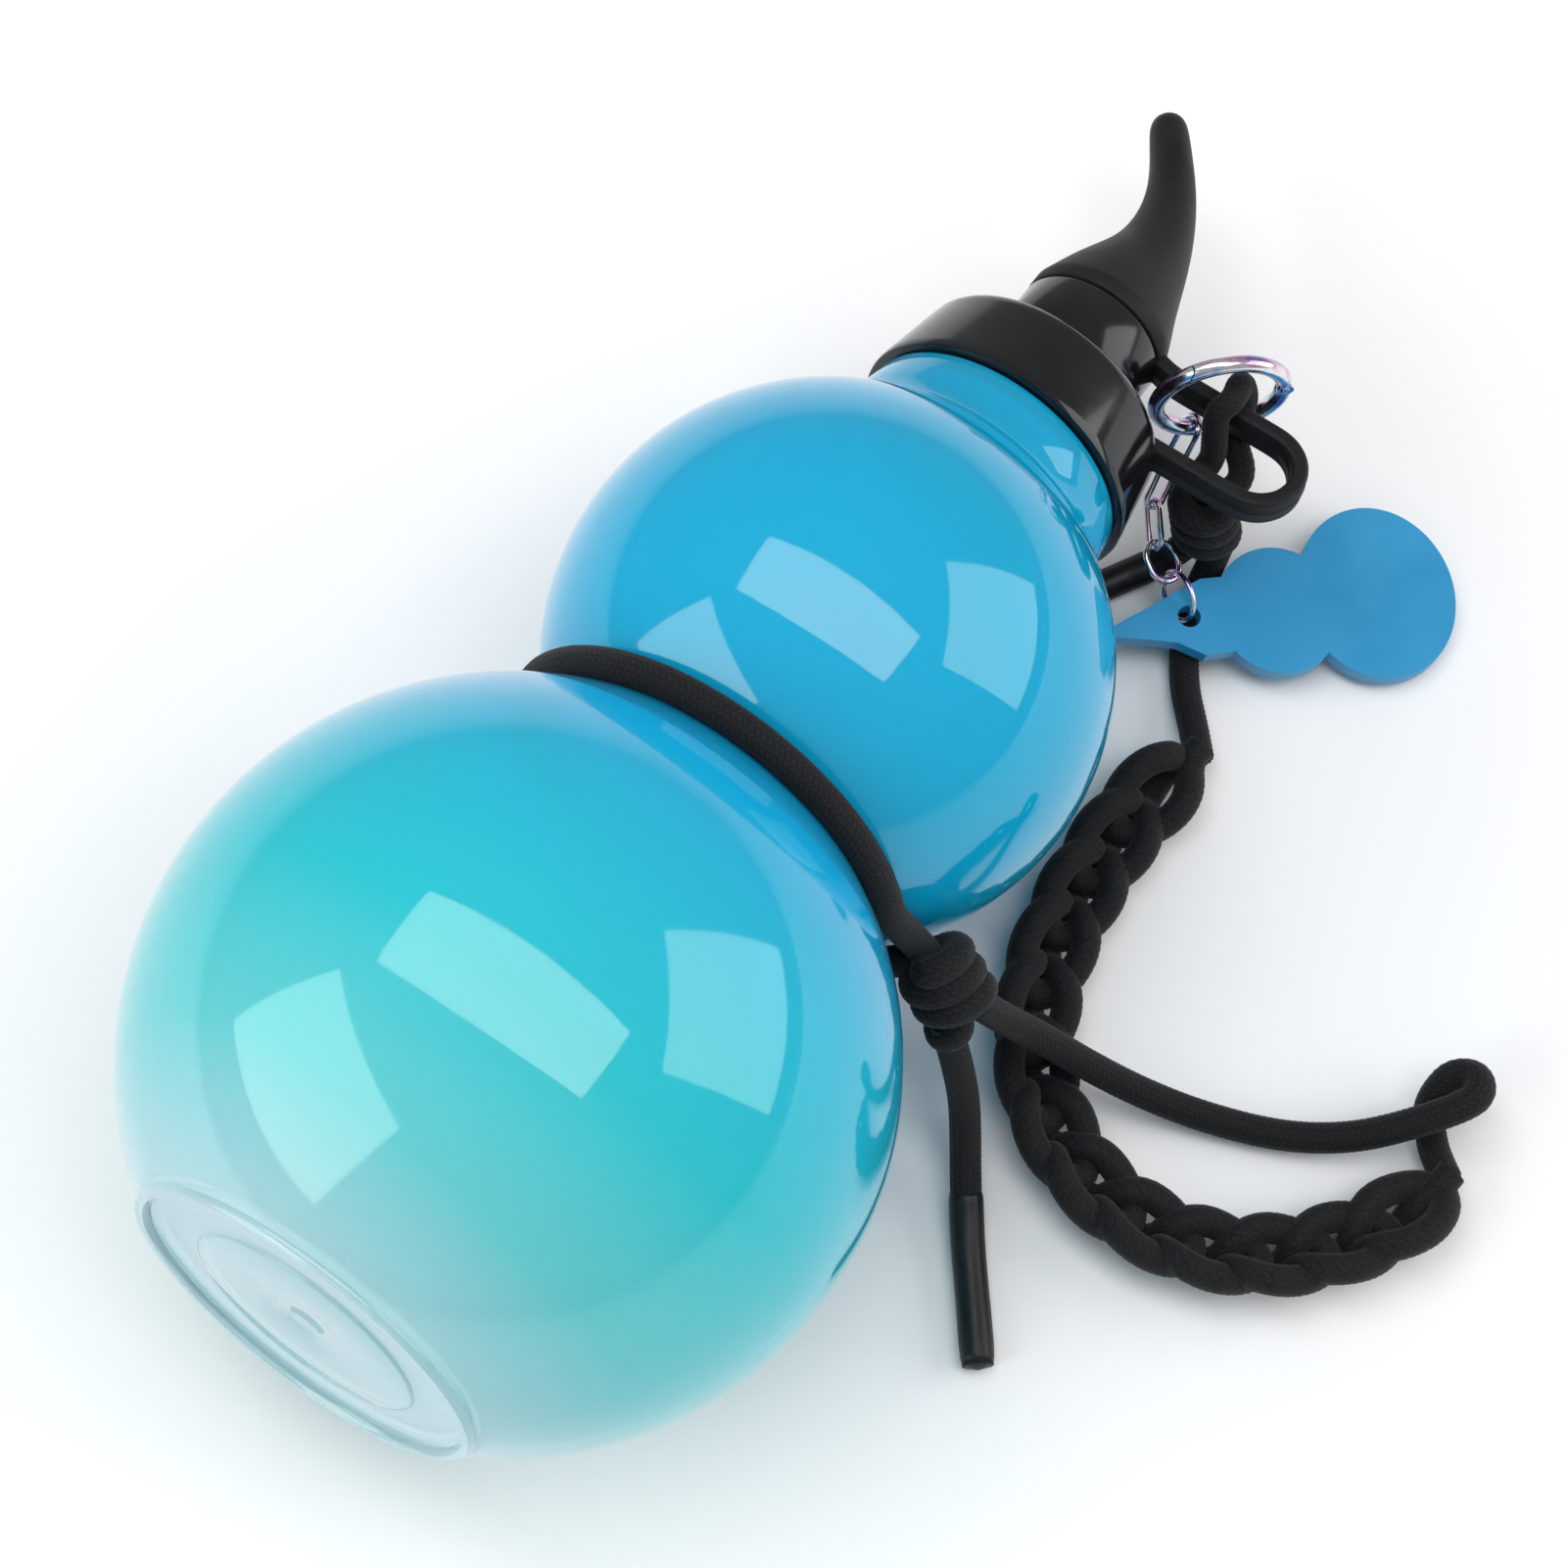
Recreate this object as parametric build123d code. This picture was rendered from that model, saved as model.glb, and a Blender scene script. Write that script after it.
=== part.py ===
from build123d import *
import math
import os

os.makedirs("parts", exist_ok=True)

# Driving dimensions, in millimetres

# Bottle
big_bulb_r = 52.0
small_bulb_r = 41.0
waist_crease_r = 26.45
wall = 1.8
waist_blend_r = 1.6
base_r = 26.8
foot_height = 1.2
foot_width = 1.9
base_step = 0.5
base_disc_r = 17.0
gate_mark_r = 2.4
neck_r = 22.2
neck_top_r = 21.3
neck_length = 9.2
mouth_r = 16.6
mouth_wall = 2.0
mouth_length = 11.6

# Screw thread between neck and lid
thread_pitch = 4.0
thread_depth = 1.1
thread_root_width = 1.5
thread_crest_width = 0.7
thread_turns = 1.3
thread_sink = 0.25
thread_start = 3.4

# Lid
lid_bottom_r = 22.4
lid_top_r = 20.2
lid_height = 14.2
lid_gap = 0.3
lid_top_wall = 1.6
lid_edge_r = 0.9
lid_thread_clearance = 0.3
gasket_thickness = 1.0
gasket_width = 3.0
spout_r = 11.8
spout_bore_r = 9.5
spout_height = 14.2
spout_edge_r = 0.6
ring_groove_depth = 0.8

# Stem stopper
stem_base_r = 11.9
stem_base_height = 2.4
stem_seat_gap = 0.1
plug_clearance = 0.05
plug_length = 7.6
plug_body_relief = 0.5
plug_rib_height = 1.2
plug_rib_shares = (0.25, 0.75)
stem_length = 43.4
stem_bend = 11.0
stem_edge_r = 0.5

# Carry strap
strap_thickness = 2.6
strap_width = 5.2
strap_reach = 40.6
strap_span = 15.6
strap_fit = 0.05
strap_root_gap = 0.3
strap_edge_r = 0.7

# Cord
cord_d = 4.6
cord_seat_gap = 0.1
drawn_cord_d = 4.0
sleeve_wall = 0.3
braid_d = 11.5

# Snap ring, chain and charm
ring_wire_r = 1.3
ring_r = 9.7
gate_start = 8.0
gate_sweep = 120.0
gate_gap = 0.15
tip_lap = 16.0
rivet_r = 0.5
rivet_head_r = 0.75
rivet_head_height = 0.25
rivet_clearance = 0.05
fork_wall = 0.55
fork_length = 2.6
link_wire_r = 0.5
link_touch_gap = 0.12
charm_thickness = 2.6
charm_big_half_length = 12.5
charm_big_half_width = 14.4
charm_small_half_length = 9.9
charm_small_half_width = 10.5
charm_stem_unit = 10.0
charm_spacing = 16.3
charm_neck = 14.2
charm_bow = 1.7
charm_hole_r = 1.8
cut_over = 1.0

# The bulbs' spheres meet in a crease at the waist, which sets their spacing
waist_z = math.sqrt(big_bulb_r ** 2 - waist_crease_r ** 2)
bulb_spacing = waist_z + math.sqrt(small_bulb_r ** 2 - waist_crease_r ** 2)

# Where the bottle lies: it rests on both bulbs, so its axis dips towards the lid
bulb_x = -70.81
bulb_y = 8.2
tilt = math.asin((big_bulb_r - small_bulb_r) / bulb_spacing)
along = Vector(math.cos(tilt), 0, -math.sin(tilt))
down = Vector(-math.sin(tilt), 0, -math.cos(tilt))
lying = Plane(origin=(bulb_x, bulb_y, big_bulb_r), x_dir=down, z_dir=along).location

# Stations along the bottle's axis, from the big bulb's centre
base_z = -math.sqrt(big_bulb_r ** 2 - base_r ** 2)
neck_z = bulb_spacing + math.sqrt(small_bulb_r ** 2 - neck_r ** 2)
shoulder_z = neck_z + neck_length
mouth_z = shoulder_z + mouth_length
lid_z = shoulder_z + lid_gap
lid_top_z = lid_z + lid_height
spout_top_z = lid_top_z + spout_height
lid_bore_r = mouth_r + thread_depth + lid_thread_clearance
stem_z = spout_top_z + stem_seat_gap
lower_arm_z = lid_top_z + strap_fit + strap_thickness / 2
upper_arm_z = lower_arm_z + strap_span - strap_thickness

# The strap's upper arm, from the floor point under the big bulb's centre
arm_x = upper_arm_z * math.cos(tilt)
arm_height = big_bulb_r - upper_arm_z * math.sin(tilt)


def hung(*points):
    """Points given from the upper arm's middle line: what hangs on the strap follows it."""
    return [(arm_x + x, y, arm_height + z) for x, y, z in points]


def laid(*points):
    """Points by the floor, given along it from the strap's upper arm."""
    return [(arm_x + x, y, z) for x, y, z in points]


def helical_ridge(root_r, crest_r, z, turns):
    """A right-hand thread ridge whose root sinks a little into its wall."""
    inward = crest_r < root_r
    sink = thread_sink if inward else -thread_sink
    path = Helix(pitch=thread_pitch, height=thread_pitch * turns, radius=root_r)
    half_root = thread_root_width / 2
    half_crest = thread_crest_width / 2
    outline = Polyline(
        (root_r + sink, -half_root),
        (crest_r, -half_crest),
        (crest_r, half_crest),
        (root_r + sink, half_root),
        close=True,
    )
    section = Plane.XZ * make_face(outline)
    return Pos(0, 0, z) * sweep(section, path=path, is_frenet=True)


def bottle_shell():
    """Blown shell: two bulbs, a footed base, a neck and a threaded mouth."""
    foot_z = base_z - foot_height
    foot_in = base_r - foot_width
    base_inside = base_z - base_step
    with BuildPart() as shell:
        with BuildSketch(Plane.XZ) as outer:
            with BuildLine():
                Line((0, base_z - foot_height), (base_r, foot_z))
                Line((base_r, foot_z), (base_r, base_z))
                ThreePointArc(
                    (base_r, base_z),
                    (big_bulb_r, 0),
                    (waist_crease_r, waist_z),
                )
                ThreePointArc(
                    (waist_crease_r, waist_z),
                    (small_bulb_r, bulb_spacing),
                    (neck_r, neck_z),
                )
                Line((neck_r, neck_z), (neck_top_r, shoulder_z))
                Line((neck_top_r, shoulder_z), (mouth_r, shoulder_z))
                Line((mouth_r, shoulder_z), (mouth_r, mouth_z))
                Line((mouth_r, mouth_z), (0, mouth_z))
                Line((0, mouth_z), (0, base_z - foot_height))
            make_face()
            creases = [v for v in outer.vertices() if abs(v.Z - waist_z) < wall and v.X > wall]
            fillet(creases, waist_blend_r)
        revolve(axis=Axis.Z)
        big_in = big_bulb_r - wall
        small_in = small_bulb_r - wall
        floor_z = base_z + wall
        floor_r = math.sqrt(big_in ** 2 - floor_z ** 2)
        waist_in_z = (big_in ** 2 - small_in ** 2 + bulb_spacing ** 2) / (2 * bulb_spacing)
        waist_in = math.sqrt(big_in ** 2 - waist_in_z ** 2)
        neck_in = neck_r - wall
        neck_in_z = bulb_spacing + math.sqrt(small_in ** 2 - neck_in ** 2)
        bore_r = mouth_r - mouth_wall
        shoulder_in_z = shoulder_z - wall
        with BuildSketch(Plane.XZ) as inner:
            with BuildLine():
                Line((0, floor_z), (floor_r, floor_z))
                ThreePointArc((floor_r, floor_z), (big_in, 0), (waist_in, waist_in_z))
                ThreePointArc(
                    (waist_in, waist_in_z), (small_in, bulb_spacing), (neck_in, neck_in_z)
                )
                Line((neck_in, neck_in_z), (neck_top_r - wall, shoulder_in_z))
                Line((neck_top_r - wall, shoulder_in_z), (bore_r, shoulder_in_z))
                Line((bore_r, shoulder_in_z), (bore_r, mouth_z + cut_over))
                Line((bore_r, mouth_z + cut_over), (0, mouth_z + cut_over))
                Line((0, mouth_z + cut_over), (0, floor_z))
            make_face()
        revolve(axis=Axis.Z, mode=Mode.SUBTRACT)
        with BuildSketch(Plane.XY.offset(foot_z - cut_over)):
            Circle(foot_in)
        extrude(amount=cut_over + foot_height - base_step, mode=Mode.SUBTRACT)
        with BuildSketch(Plane.XY.offset(foot_z)):
            Circle(foot_in)
            Circle(base_disc_r, mode=Mode.SUBTRACT)
        extrude(amount=foot_height, mode=Mode.SUBTRACT)
        with BuildSketch(Plane.XY.offset(base_inside)):
            Circle(gate_mark_r)
        extrude(amount=base_step / 2, mode=Mode.SUBTRACT)
    ridge = helical_ridge(mouth_r, mouth_r + thread_depth, shoulder_z + thread_start, thread_turns)
    return shell.part + ridge


def lid_collar():
    """Tapered screw collar with its spout, bored through, and an inside thread."""
    top_under_z = lid_top_z - lid_top_wall
    groove_r = spout_r - ring_groove_depth
    groove_top_z = lid_top_z + strap_thickness + 2 * strap_fit
    with BuildPart() as lid:
        with BuildSketch(Plane.XZ) as side:
            Polygon(
                (0, lid_z),
                (lid_bottom_r, lid_z),
                (lid_top_r, lid_top_z),
                (0, lid_top_z),
                align=None,
            )
            rim = [v for v in side.vertices() if v.X > spout_r]
            fillet(rim, lid_edge_r)
        revolve(axis=Axis.Z)
        with BuildSketch(Plane.XZ) as spout:
            Polygon(
                (0, lid_top_z - lid_top_wall),
                (groove_r, lid_top_z - lid_top_wall),
                (groove_r, groove_top_z),
                (spout_r, groove_top_z),
                (spout_r, spout_top_z),
                (0, spout_top_z),
                align=None,
            )
            lip = [v for v in spout.vertices() if v.X > groove_r and v.Z > groove_top_z + lid_gap]
            fillet(lip, spout_edge_r)
        revolve(axis=Axis.Z)
        with BuildSketch(Plane.XY.offset(lid_z - cut_over)):
            Circle(lid_bore_r)
        extrude(amount=cut_over + top_under_z - lid_z, mode=Mode.SUBTRACT)
        with BuildSketch(Plane.XY.offset(top_under_z - cut_over)):
            Circle(spout_bore_r)
        extrude(amount=cut_over + spout_top_z - top_under_z + cut_over, mode=Mode.SUBTRACT)
    crest_r = lid_bore_r - thread_depth
    start = shoulder_z + thread_start - thread_pitch / 2
    ridge = helical_ridge(lid_bore_r, crest_r, start, thread_turns)
    return lid.part + ridge


def lid_gasket():
    """Flat sealing washer between the mouth and the inside of the lid."""
    top_under_z = lid_top_z - lid_top_wall
    with BuildPart() as washer:
        with BuildSketch(Plane.XY.offset(top_under_z - gasket_thickness)):
            Circle(lid_bore_r - plug_clearance)
            Circle(lid_bore_r - gasket_width, mode=Mode.SUBTRACT)
        extrude(amount=gasket_thickness)
    return washer.part


# The stem's centre line and thickness, as shares of its length, bend and base radius
stem_shares = [
    (0.000, 0.000, 1.000),
    (0.120, 0.005, 0.860),
    (0.235, -0.010, 0.700),
    (0.360, -0.005, 0.545),
    (0.500, 0.085, 0.430),
    (0.625, 0.240, 0.355),
    (0.735, 0.440, 0.308),
    (0.840, 0.690, 0.280),
    (0.930, 0.925, 0.265),
    (0.968, 1.022, 0.236),
    (0.991, 1.080, 0.170),
    (1.000, 1.104, 0.080),
]


def stem_stopper():
    """Bent stem on a plug that pushes into the spout."""
    root_z = stem_z + stem_base_height
    spans = [(stem_bend * b, root_z + (stem_length - stem_base_height) * a) for a, b, _ in stem_shares]
    radii = [stem_base_r * share for _, _, share in stem_shares]
    last = len(spans) - 1
    sections = []
    for i, (y, z) in enumerate(spans):
        before = spans[max(i - 1, 0)]
        after = spans[min(i + 1, last)]
        heading = Vector(0, after[0] - before[0], after[1] - before[1])
        if i == 0:
            heading = Vector(0, 0, 1)
        sections.append(Plane(origin=(0, y, z), x_dir=(1, 0, 0), z_dir=heading) * Circle(radii[i]))
    horn = loft(sections)
    base = Pos(0, 0, stem_z + stem_base_height / 2) * Cylinder(stem_base_r, stem_base_height)
    base = fillet(base.edges().group_by(Axis.Z)[0], stem_edge_r)
    plug_r = spout_bore_r - plug_clearance
    core = Pos(0, 0, stem_z - plug_length / 2) * Cylinder(plug_r - plug_body_relief, plug_length)
    body = base + horn + core
    for share in plug_rib_shares:
        body += Pos(0, 0, stem_z - plug_length * share) * Cylinder(plug_r, plug_rib_height)
    return body


def carry_loop():
    """Soft strap: a ring round the spout's foot, a lower arm, a turn and an upper arm."""
    groove_r = spout_r - ring_groove_depth
    ring_out = groove_r + strap_fit + strap_thickness
    turn_r = strap_span / 2
    centre_z = (lower_arm_z + upper_arm_z) / 2
    turn_y = -(strap_reach - turn_r)
    root_y = -(spout_r + strap_root_gap)
    half = strap_width / 2
    with BuildPart() as strap:
        with BuildSketch(Plane.YZ.offset(-half)):
            with BuildLine():
                Line((root_y, upper_arm_z + strap_thickness / 2), (turn_y, centre_z + turn_r))
                ThreePointArc(
                    (turn_y, centre_z + turn_r), (-strap_reach, centre_z), (turn_y, centre_z - turn_r)
                )
                Line((turn_y, centre_z - turn_r), (root_y, lower_arm_z - strap_thickness / 2))
                Line(
                    (root_y, lower_arm_z - strap_thickness / 2),
                    (root_y, lower_arm_z + strap_thickness / 2),
                )
                Line(
                    (root_y, lower_arm_z + strap_thickness / 2),
                    (turn_y, centre_z - turn_r + strap_thickness),
                )
                ThreePointArc(
                    (turn_y, centre_z - turn_r + strap_thickness),
                    (-strap_reach + strap_thickness, centre_z),
                    (turn_y, centre_z + turn_r - strap_thickness),
                )
                Line(
                    (turn_y, centre_z + turn_r - strap_thickness),
                    (root_y, upper_arm_z - strap_thickness / 2),
                )
                Line(
                    (root_y, upper_arm_z - strap_thickness / 2),
                    (root_y, upper_arm_z + strap_thickness / 2),
                )
            make_face()
        extrude(amount=strap_width)
        sides = strap.faces().filter_by(Axis.X)
        fillet([e for f in sides for e in f.edges() if e.bounding_box().min.Y < root_y - half], strap_edge_r)
        with BuildSketch(Plane.XY.offset(lower_arm_z - strap_thickness / 2)):
            Circle(ring_out)
            Circle(groove_r + strap_fit, mode=Mode.SUBTRACT)
        extrude(amount=strap_thickness)
    return strap.part


run_share = 0.45


def cord_tube(route, diameter, name):
    """A tube along straight runs joined by tangent arcs, each as large as its runs allow."""
    points = [Vector(bulb_x + x, bulb_y + y, z) for x, y, z in route]
    radii = []
    for before, here, after in zip(points, points[1:], points[2:]):
        turn = (here - before).get_angle(after - here)
        run = min((here - before).length, (after - here).length)
        radii.append(run_share * run / math.tan(math.radians(turn) / 2))
    print(name, "least radius", round(min(radii), 1) if radii else "straight")
    line = FilletPolyline(*points, radius=radii) if radii else Line(*points)
    start = Plane(origin=line @ 0, z_dir=line % 0)
    tube = sweep(start * Circle(diameter / 2), path=line)
    print(name, "length", round(line.length, 1))
    return tube


# Routes of the cord, in millimetres from the point of the floor under the big bulb's centre
waist_tail_route = [(42.9, -41.6, 32.2), (41.4, -44.8, 24.4), (39.6, -47.8, 16.6), (37.0, -50.1, 10.9),
                    (33.8, -52.4, 7.0), (30.2, -55.0, 4.6), (28.04, -56.56, 3.9)]
tail_sleeve_route = [(28.04, -56.56, 3.9), (24.8, -58.9, 2.85), (18.9, -63.6, 2.65), (10.9, -69.7, 2.7)]
strap_cord_route = [(47.2, -43.9, 33.6), (49.5, -47.0, 26.0), (52.4, -51.6, 18.8), (54.6, -58.8, 12.2),
                    (57.2, -67.4, 6.4), (60.2, -77.0, 3.2), (64.1, -88.0, 3.0), (68.8, -96.4, 5.0),
                    (74.2, -102.6, 8.5), (79.2, -107.0, 11.2)]
strap_bight_route = [(79.2, -107.0, 11.2), (80.9, -108.5, 12.1), (83.5, -108.7, 12.0), (85.3, -107.3, 10.8),
                     (85.3, -105.2, 9.3), (83.5, -103.6, 8.3), (79.5, -103.4, 5.0), (76.9, -105.8, 2.9),
                     (74.2, -108.4, 2.7), (71.8, -111.2, 4.4)]
strap_braid_route = [(72.4, -111.4, 5.8), (64.9, -110.6, 5.8), (55.9, -106.0, 5.8), (47.6, -98.6, 5.8),
                     (41.6, -88.6, 5.8), (39.6, -77.4, 5.8), (41.4, -66.2, 5.8), (47.0, -56.2, 5.8),
                     (55.8, -49.0, 5.8), (66.6, -44.9, 5.8), (78.4, -43.1, 5.8), (90.4, -42.9, 5.8),
                     (101.0, -44.4, 5.8), (108.8, -46.2, 5.8)]
upper_cord_route = [(107.4, -46.9, 5.6), (112.0, -43.4, 3.6), (117.0, -38.8, 2.5), (122.6, -35.2, 2.4),
                    *laid((-18.5, -32.6, 2.4), (-13.5, -31.5, 2.8)),
                    *hung((-10.6, -31.4, -24.3), (-9.3, -31.4, -20.2))]
top_tail_route = [*hung((-12.3, -27.1, -19.8), (-11.7, -26.6, -22.9)),
                  *laid((-12.2, -25.4, 4.5), (-14.9, -23.4, 2.9), (-16.9, -22.2, 2.7))]
top_sleeve_route = laid((-16.9, -22.2, 2.7), (-22.9, -18.6, 2.65), (-29.9, -14.8, 2.7), (-36.5, -11.6, 2.75))
hitch_route = hung((-8.5, -25.2, -5.3), (-5.3, -25.6, -4.3), (-5.0, -25.0, 0.3), (-2.8, -23.4, 4.3),
                   (-0.4, -24.8, 5.3), (3.9, -23.7, 4.2), (4.3, -25.1, -0.8), (2.3, -25.4, -4.8),
                   (-0.7, -26.6, -5.1), (-4.1, -30.8, -6.3), (-8.3, -30.0, -7.1))


def waist_cord():
    """Cord ring that lies in the groove between the bulbs."""
    off = cord_d / 2 + cord_seat_gap
    z = ((big_bulb_r + off) ** 2 - (small_bulb_r + off) ** 2 + bulb_spacing ** 2) / (2 * bulb_spacing)
    r = math.sqrt((big_bulb_r + off) ** 2 - z ** 2)
    return Pos(0, 0, z) * Torus(r, cord_d / 2)


def wrapped_knot(start, end, radius, wraps):
    """A knot's outer shape: a few wraps of cord side by side on a short core."""
    base = Vector(bulb_x + start[0], bulb_y + start[1], start[2])
    top = Vector(bulb_x + end[0], bulb_y + end[1], end[2])
    span = (top - base).length
    pitch = span / wraps
    bulge = pitch / 2
    inner = radius - bulge
    frame = Plane(origin=base, z_dir=top - base)
    with BuildPart() as knot:
        with BuildSketch(Plane.XZ):
            with BuildLine():
                Line((0, 0), (inner, 0))
                for i in range(wraps):
                    ThreePointArc(
                        (inner, i * pitch), (radius, i * pitch + bulge), (inner, (i + 1) * pitch)
                    )
                Line((inner, span), (0, span))
                Line((0, span), (0, 0))
            make_face()
        revolve(axis=Axis.Z)
    return frame.location * knot.part


waist_knot_ends = ((47.8, -34.4, 40.6), (45.6, -43.0, 33.2))
waist_knot_r = 6.3
waist_knot_wraps = 2
top_knot_ends = hung((-10.7, -27.4, -5.5), (-10.9, -29.6, -18.1))
top_knot_r = 5.6
top_knot_wraps = 3


# Snap ring: centre, the level direction in its plane, and its normal
ring_from_arm = (1.44, -21.9, 0.98)
ring_centre = Vector(*hung(ring_from_arm)[0]) + Vector(bulb_x, bulb_y, 0)
ring_level_shares = (0.68, -0.733, 0)
ring_level = Vector(*ring_level_shares).normalized()
ring_normal = ring_level.cross(Vector(0, 0, 1))
ring_plane = Plane(origin=ring_centre, x_dir=ring_level, z_dir=ring_normal)


def wire_arc(radius, start, sweep_angle, wire_r):
    """A round wire bent to an arc in the XY plane."""
    line = CenterArc((0, 0), radius, start, sweep_angle)
    return sweep(Plane(origin=line @ 0, z_dir=line % 0) * Circle(wire_r), path=line)


def rivet_at():
    """Where the gate's pin sits in the ring's own plane."""
    angle = math.radians(gate_start)
    return ring_r * math.cos(angle), ring_r * math.sin(angle)


def gate_reach(extra=0):
    """All that lies within the gate tip's reach of the pin, so the slanted joint opens inward."""
    x, y = rivet_at()
    chord = 2 * ring_r * math.sin(math.radians(gate_sweep / 2))
    return Pos(x, y, 0) * Cylinder(chord + extra, 4 * ring_wire_r)


def snap_ring():
    """The fixed part of the ring, forked where the gate's pin goes through."""
    tip = gate_start + gate_sweep
    body = wire_arc(ring_r, tip - tip_lap, 360 - gate_sweep + tip_lap, ring_wire_r)
    near_tip = Rot(0, 0, tip) * Pos(ring_r, 0, 0) * Box(4 * ring_wire_r, 8 * ring_wire_r, 4 * ring_wire_r)
    body -= gate_reach(gate_gap) & near_tip
    x, y = rivet_at()
    slot = Rot(0, 0, gate_start) * Pos(ring_r, 0, 0)
    notch = Box(4 * ring_wire_r, fork_length, 2 * (ring_wire_r - fork_wall))
    body -= slot * Pos(0, -fork_length / 2 + rivet_head_r, 0) * notch
    ear = Pos(x, y, 0) * Cylinder(ring_wire_r, 2 * (ring_wire_r - fork_wall) + 2 * fork_wall)
    ear -= Pos(x, y, 0) * Cylinder(2 * ring_wire_r, 2 * (ring_wire_r - fork_wall))
    body += ear
    body -= Pos(x, y, 0) * Cylinder(rivet_r, 4 * ring_wire_r)
    return ring_plane.location * body


def snap_gate():
    """The gate's arc, with a flat tongue that turns on the pin between the fork's ears."""
    clear = math.degrees((ring_wire_r + rivet_clearance + gate_gap) / ring_r)
    body = wire_arc(ring_r, gate_start + clear, gate_sweep - clear + tip_lap, ring_wire_r)
    body &= gate_reach()
    x, y = rivet_at()
    tongue_h = 2 * (ring_wire_r - fork_wall - rivet_clearance)
    tongue = Pos(x, y, 0) * Cylinder(ring_wire_r - gate_gap, tongue_h)
    reach = Rot(0, 0, gate_start + clear / 2) * Pos(ring_r, 0, 0)
    tongue += reach * Box(2 * (ring_wire_r - fork_wall), 2 * ring_wire_r, tongue_h)
    body += tongue
    body -= Pos(x, y, 0) * Cylinder(rivet_r + rivet_clearance, 4 * ring_wire_r)
    return ring_plane.location * body


def gate_rivet():
    """Pin with two low heads through the fork and the gate's tongue."""
    x, y = rivet_at()
    pin = Pos(x, y, 0) * Cylinder(rivet_r, 2 * ring_wire_r)
    for side in (1, -1):
        pin += Pos(x, y, side * (ring_wire_r + rivet_head_height / 2)) * Cylinder(
            rivet_head_r, rivet_head_height
        )
    return ring_plane.location * pin


past_joint = link_wire_r + link_touch_gap / 2
past_ring = ring_wire_r + link_wire_r + link_touch_gap


def chain_link(start, end, across, width, start_past=past_joint, end_past=past_joint):
    """A closed oval link from one joint to the next, square to the wire it hangs on."""
    a = Vector(bulb_x + start[0], bulb_y + start[1], start[2])
    b = Vector(bulb_x + end[0], bulb_y + end[1], end[2])
    heading = (b - a).normalized()
    side = heading.cross(across).normalized()
    a = a - heading * start_past
    b = b + heading * end_past
    length = (b - a).length
    frame = Plane(origin=(a + b) * 0.5, x_dir=heading, z_dir=heading.cross(side))
    width = min(width, length)
    if length - width < link_wire_r:
        return frame.location * Torus(length / 2, link_wire_r), side
    half = (length - width) / 2
    r = width / 2
    link = Pos(0, r, 0) * Rot(0, 90, 0) * Cylinder(link_wire_r, 2 * half)
    link += Pos(0, -r, 0) * Rot(0, 90, 0) * Cylinder(link_wire_r, 2 * half)
    link += Pos(half, 0, 0) * wire_arc(r, -90, 180, link_wire_r)
    link += Pos(-half, 0, 0) * wire_arc(r, 90, 180, link_wire_r)
    return frame.location * link, side


# Chain joints, from the ring's lower arc to the charm's hole
chain_joints = hung((-0.86, -19.45, -8.12), (-5.66, -19.4, -12.72), (-10.86, -19.8, -16.92),
                    (-15.26, -23.4, -19.92), (-17.86, -27.8, -21.62), (-21.76, -33.6, -23.32))
link_widths = [4.6, 2.8, 3.2, 5.2, 8.4]


# The charm's shoulder and stem, from the hole, as shares of its stem unit
charm_stem_shares = [(0.80, 0.62), (0.28, 0.61), (-1.19, -0.06), (-1.46, -0.22), (-0.89, -0.30),
                     (-0.25, -0.42), (0.16, -0.66), (0.84, -0.61)]
charm_along_shares = (0.667, -0.745, -0.122)
charm_across_shares = (0.745, 0.667, 0.04)


def charm():
    """Flat gourd-shaped charm: two lobes, a stepped shoulder, a bent stem and a hole."""
    hole = Vector(bulb_x + chain_joints[-1][0], bulb_y + chain_joints[-1][1], chain_joints[-1][2])
    lengthwise = Vector(*charm_along_shares).normalized()
    sideways = Vector(*charm_across_shares)
    frame = Plane(origin=hole, x_dir=lengthwise, z_dir=lengthwise.cross(sideways))
    with BuildPart() as made:
        with BuildSketch():
            with Locations((charm_neck, 0)):
                Ellipse(charm_small_half_length, charm_small_half_width)
            with Locations((charm_neck + charm_spacing, charm_bow)):
                Ellipse(charm_big_half_length, charm_big_half_width)
            with BuildLine():
                Polyline(*[(charm_stem_unit * x, charm_stem_unit * y) for x, y in charm_stem_shares], close=True)
            make_face()
            Circle(charm_hole_r, mode=Mode.SUBTRACT)
        extrude(amount=charm_thickness / 2, both=True)
    return frame.location * made.part


def save(shape, name):
    export_step(shape, os.path.join("parts", name + ".step"))


# The one-piece shell is kept as two nodes that meet at the waist
shell = bottle_shell()
waist_plane = Plane.XY.offset(waist_z)
save(lying * split(shell, waist_plane, Keep.BOTTOM), "big_bulb")
save(lying * split(shell, waist_plane, Keep.TOP), "small_bulb")
save(lying * lid_collar(), "lid_collar")
save(lying * lid_gasket(), "lid_gasket")
save(lying * stem_stopper(), "stem_stopper")
save(lying * carry_loop(), "carry_loop")
save(lying * waist_cord(), "waist_cord")
save(wrapped_knot(*waist_knot_ends, waist_knot_r, waist_knot_wraps), "waist_knot")
save(wrapped_knot(*top_knot_ends, top_knot_r, top_knot_wraps), "top_knot")
save(cord_tube(hitch_route, drawn_cord_d, "loop_hitch"), "loop_hitch")
save(cord_tube(waist_tail_route, cord_d, "waist_tail"), "waist_tail")
save(cord_tube(tail_sleeve_route, cord_d + 2 * sleeve_wall, "tail_sleeve"), "tail_sleeve")
save(cord_tube(strap_cord_route, cord_d, "strap_cord"), "strap_cord")
save(cord_tube(strap_bight_route, cord_d, "strap_bight"), "strap_bight")
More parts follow.
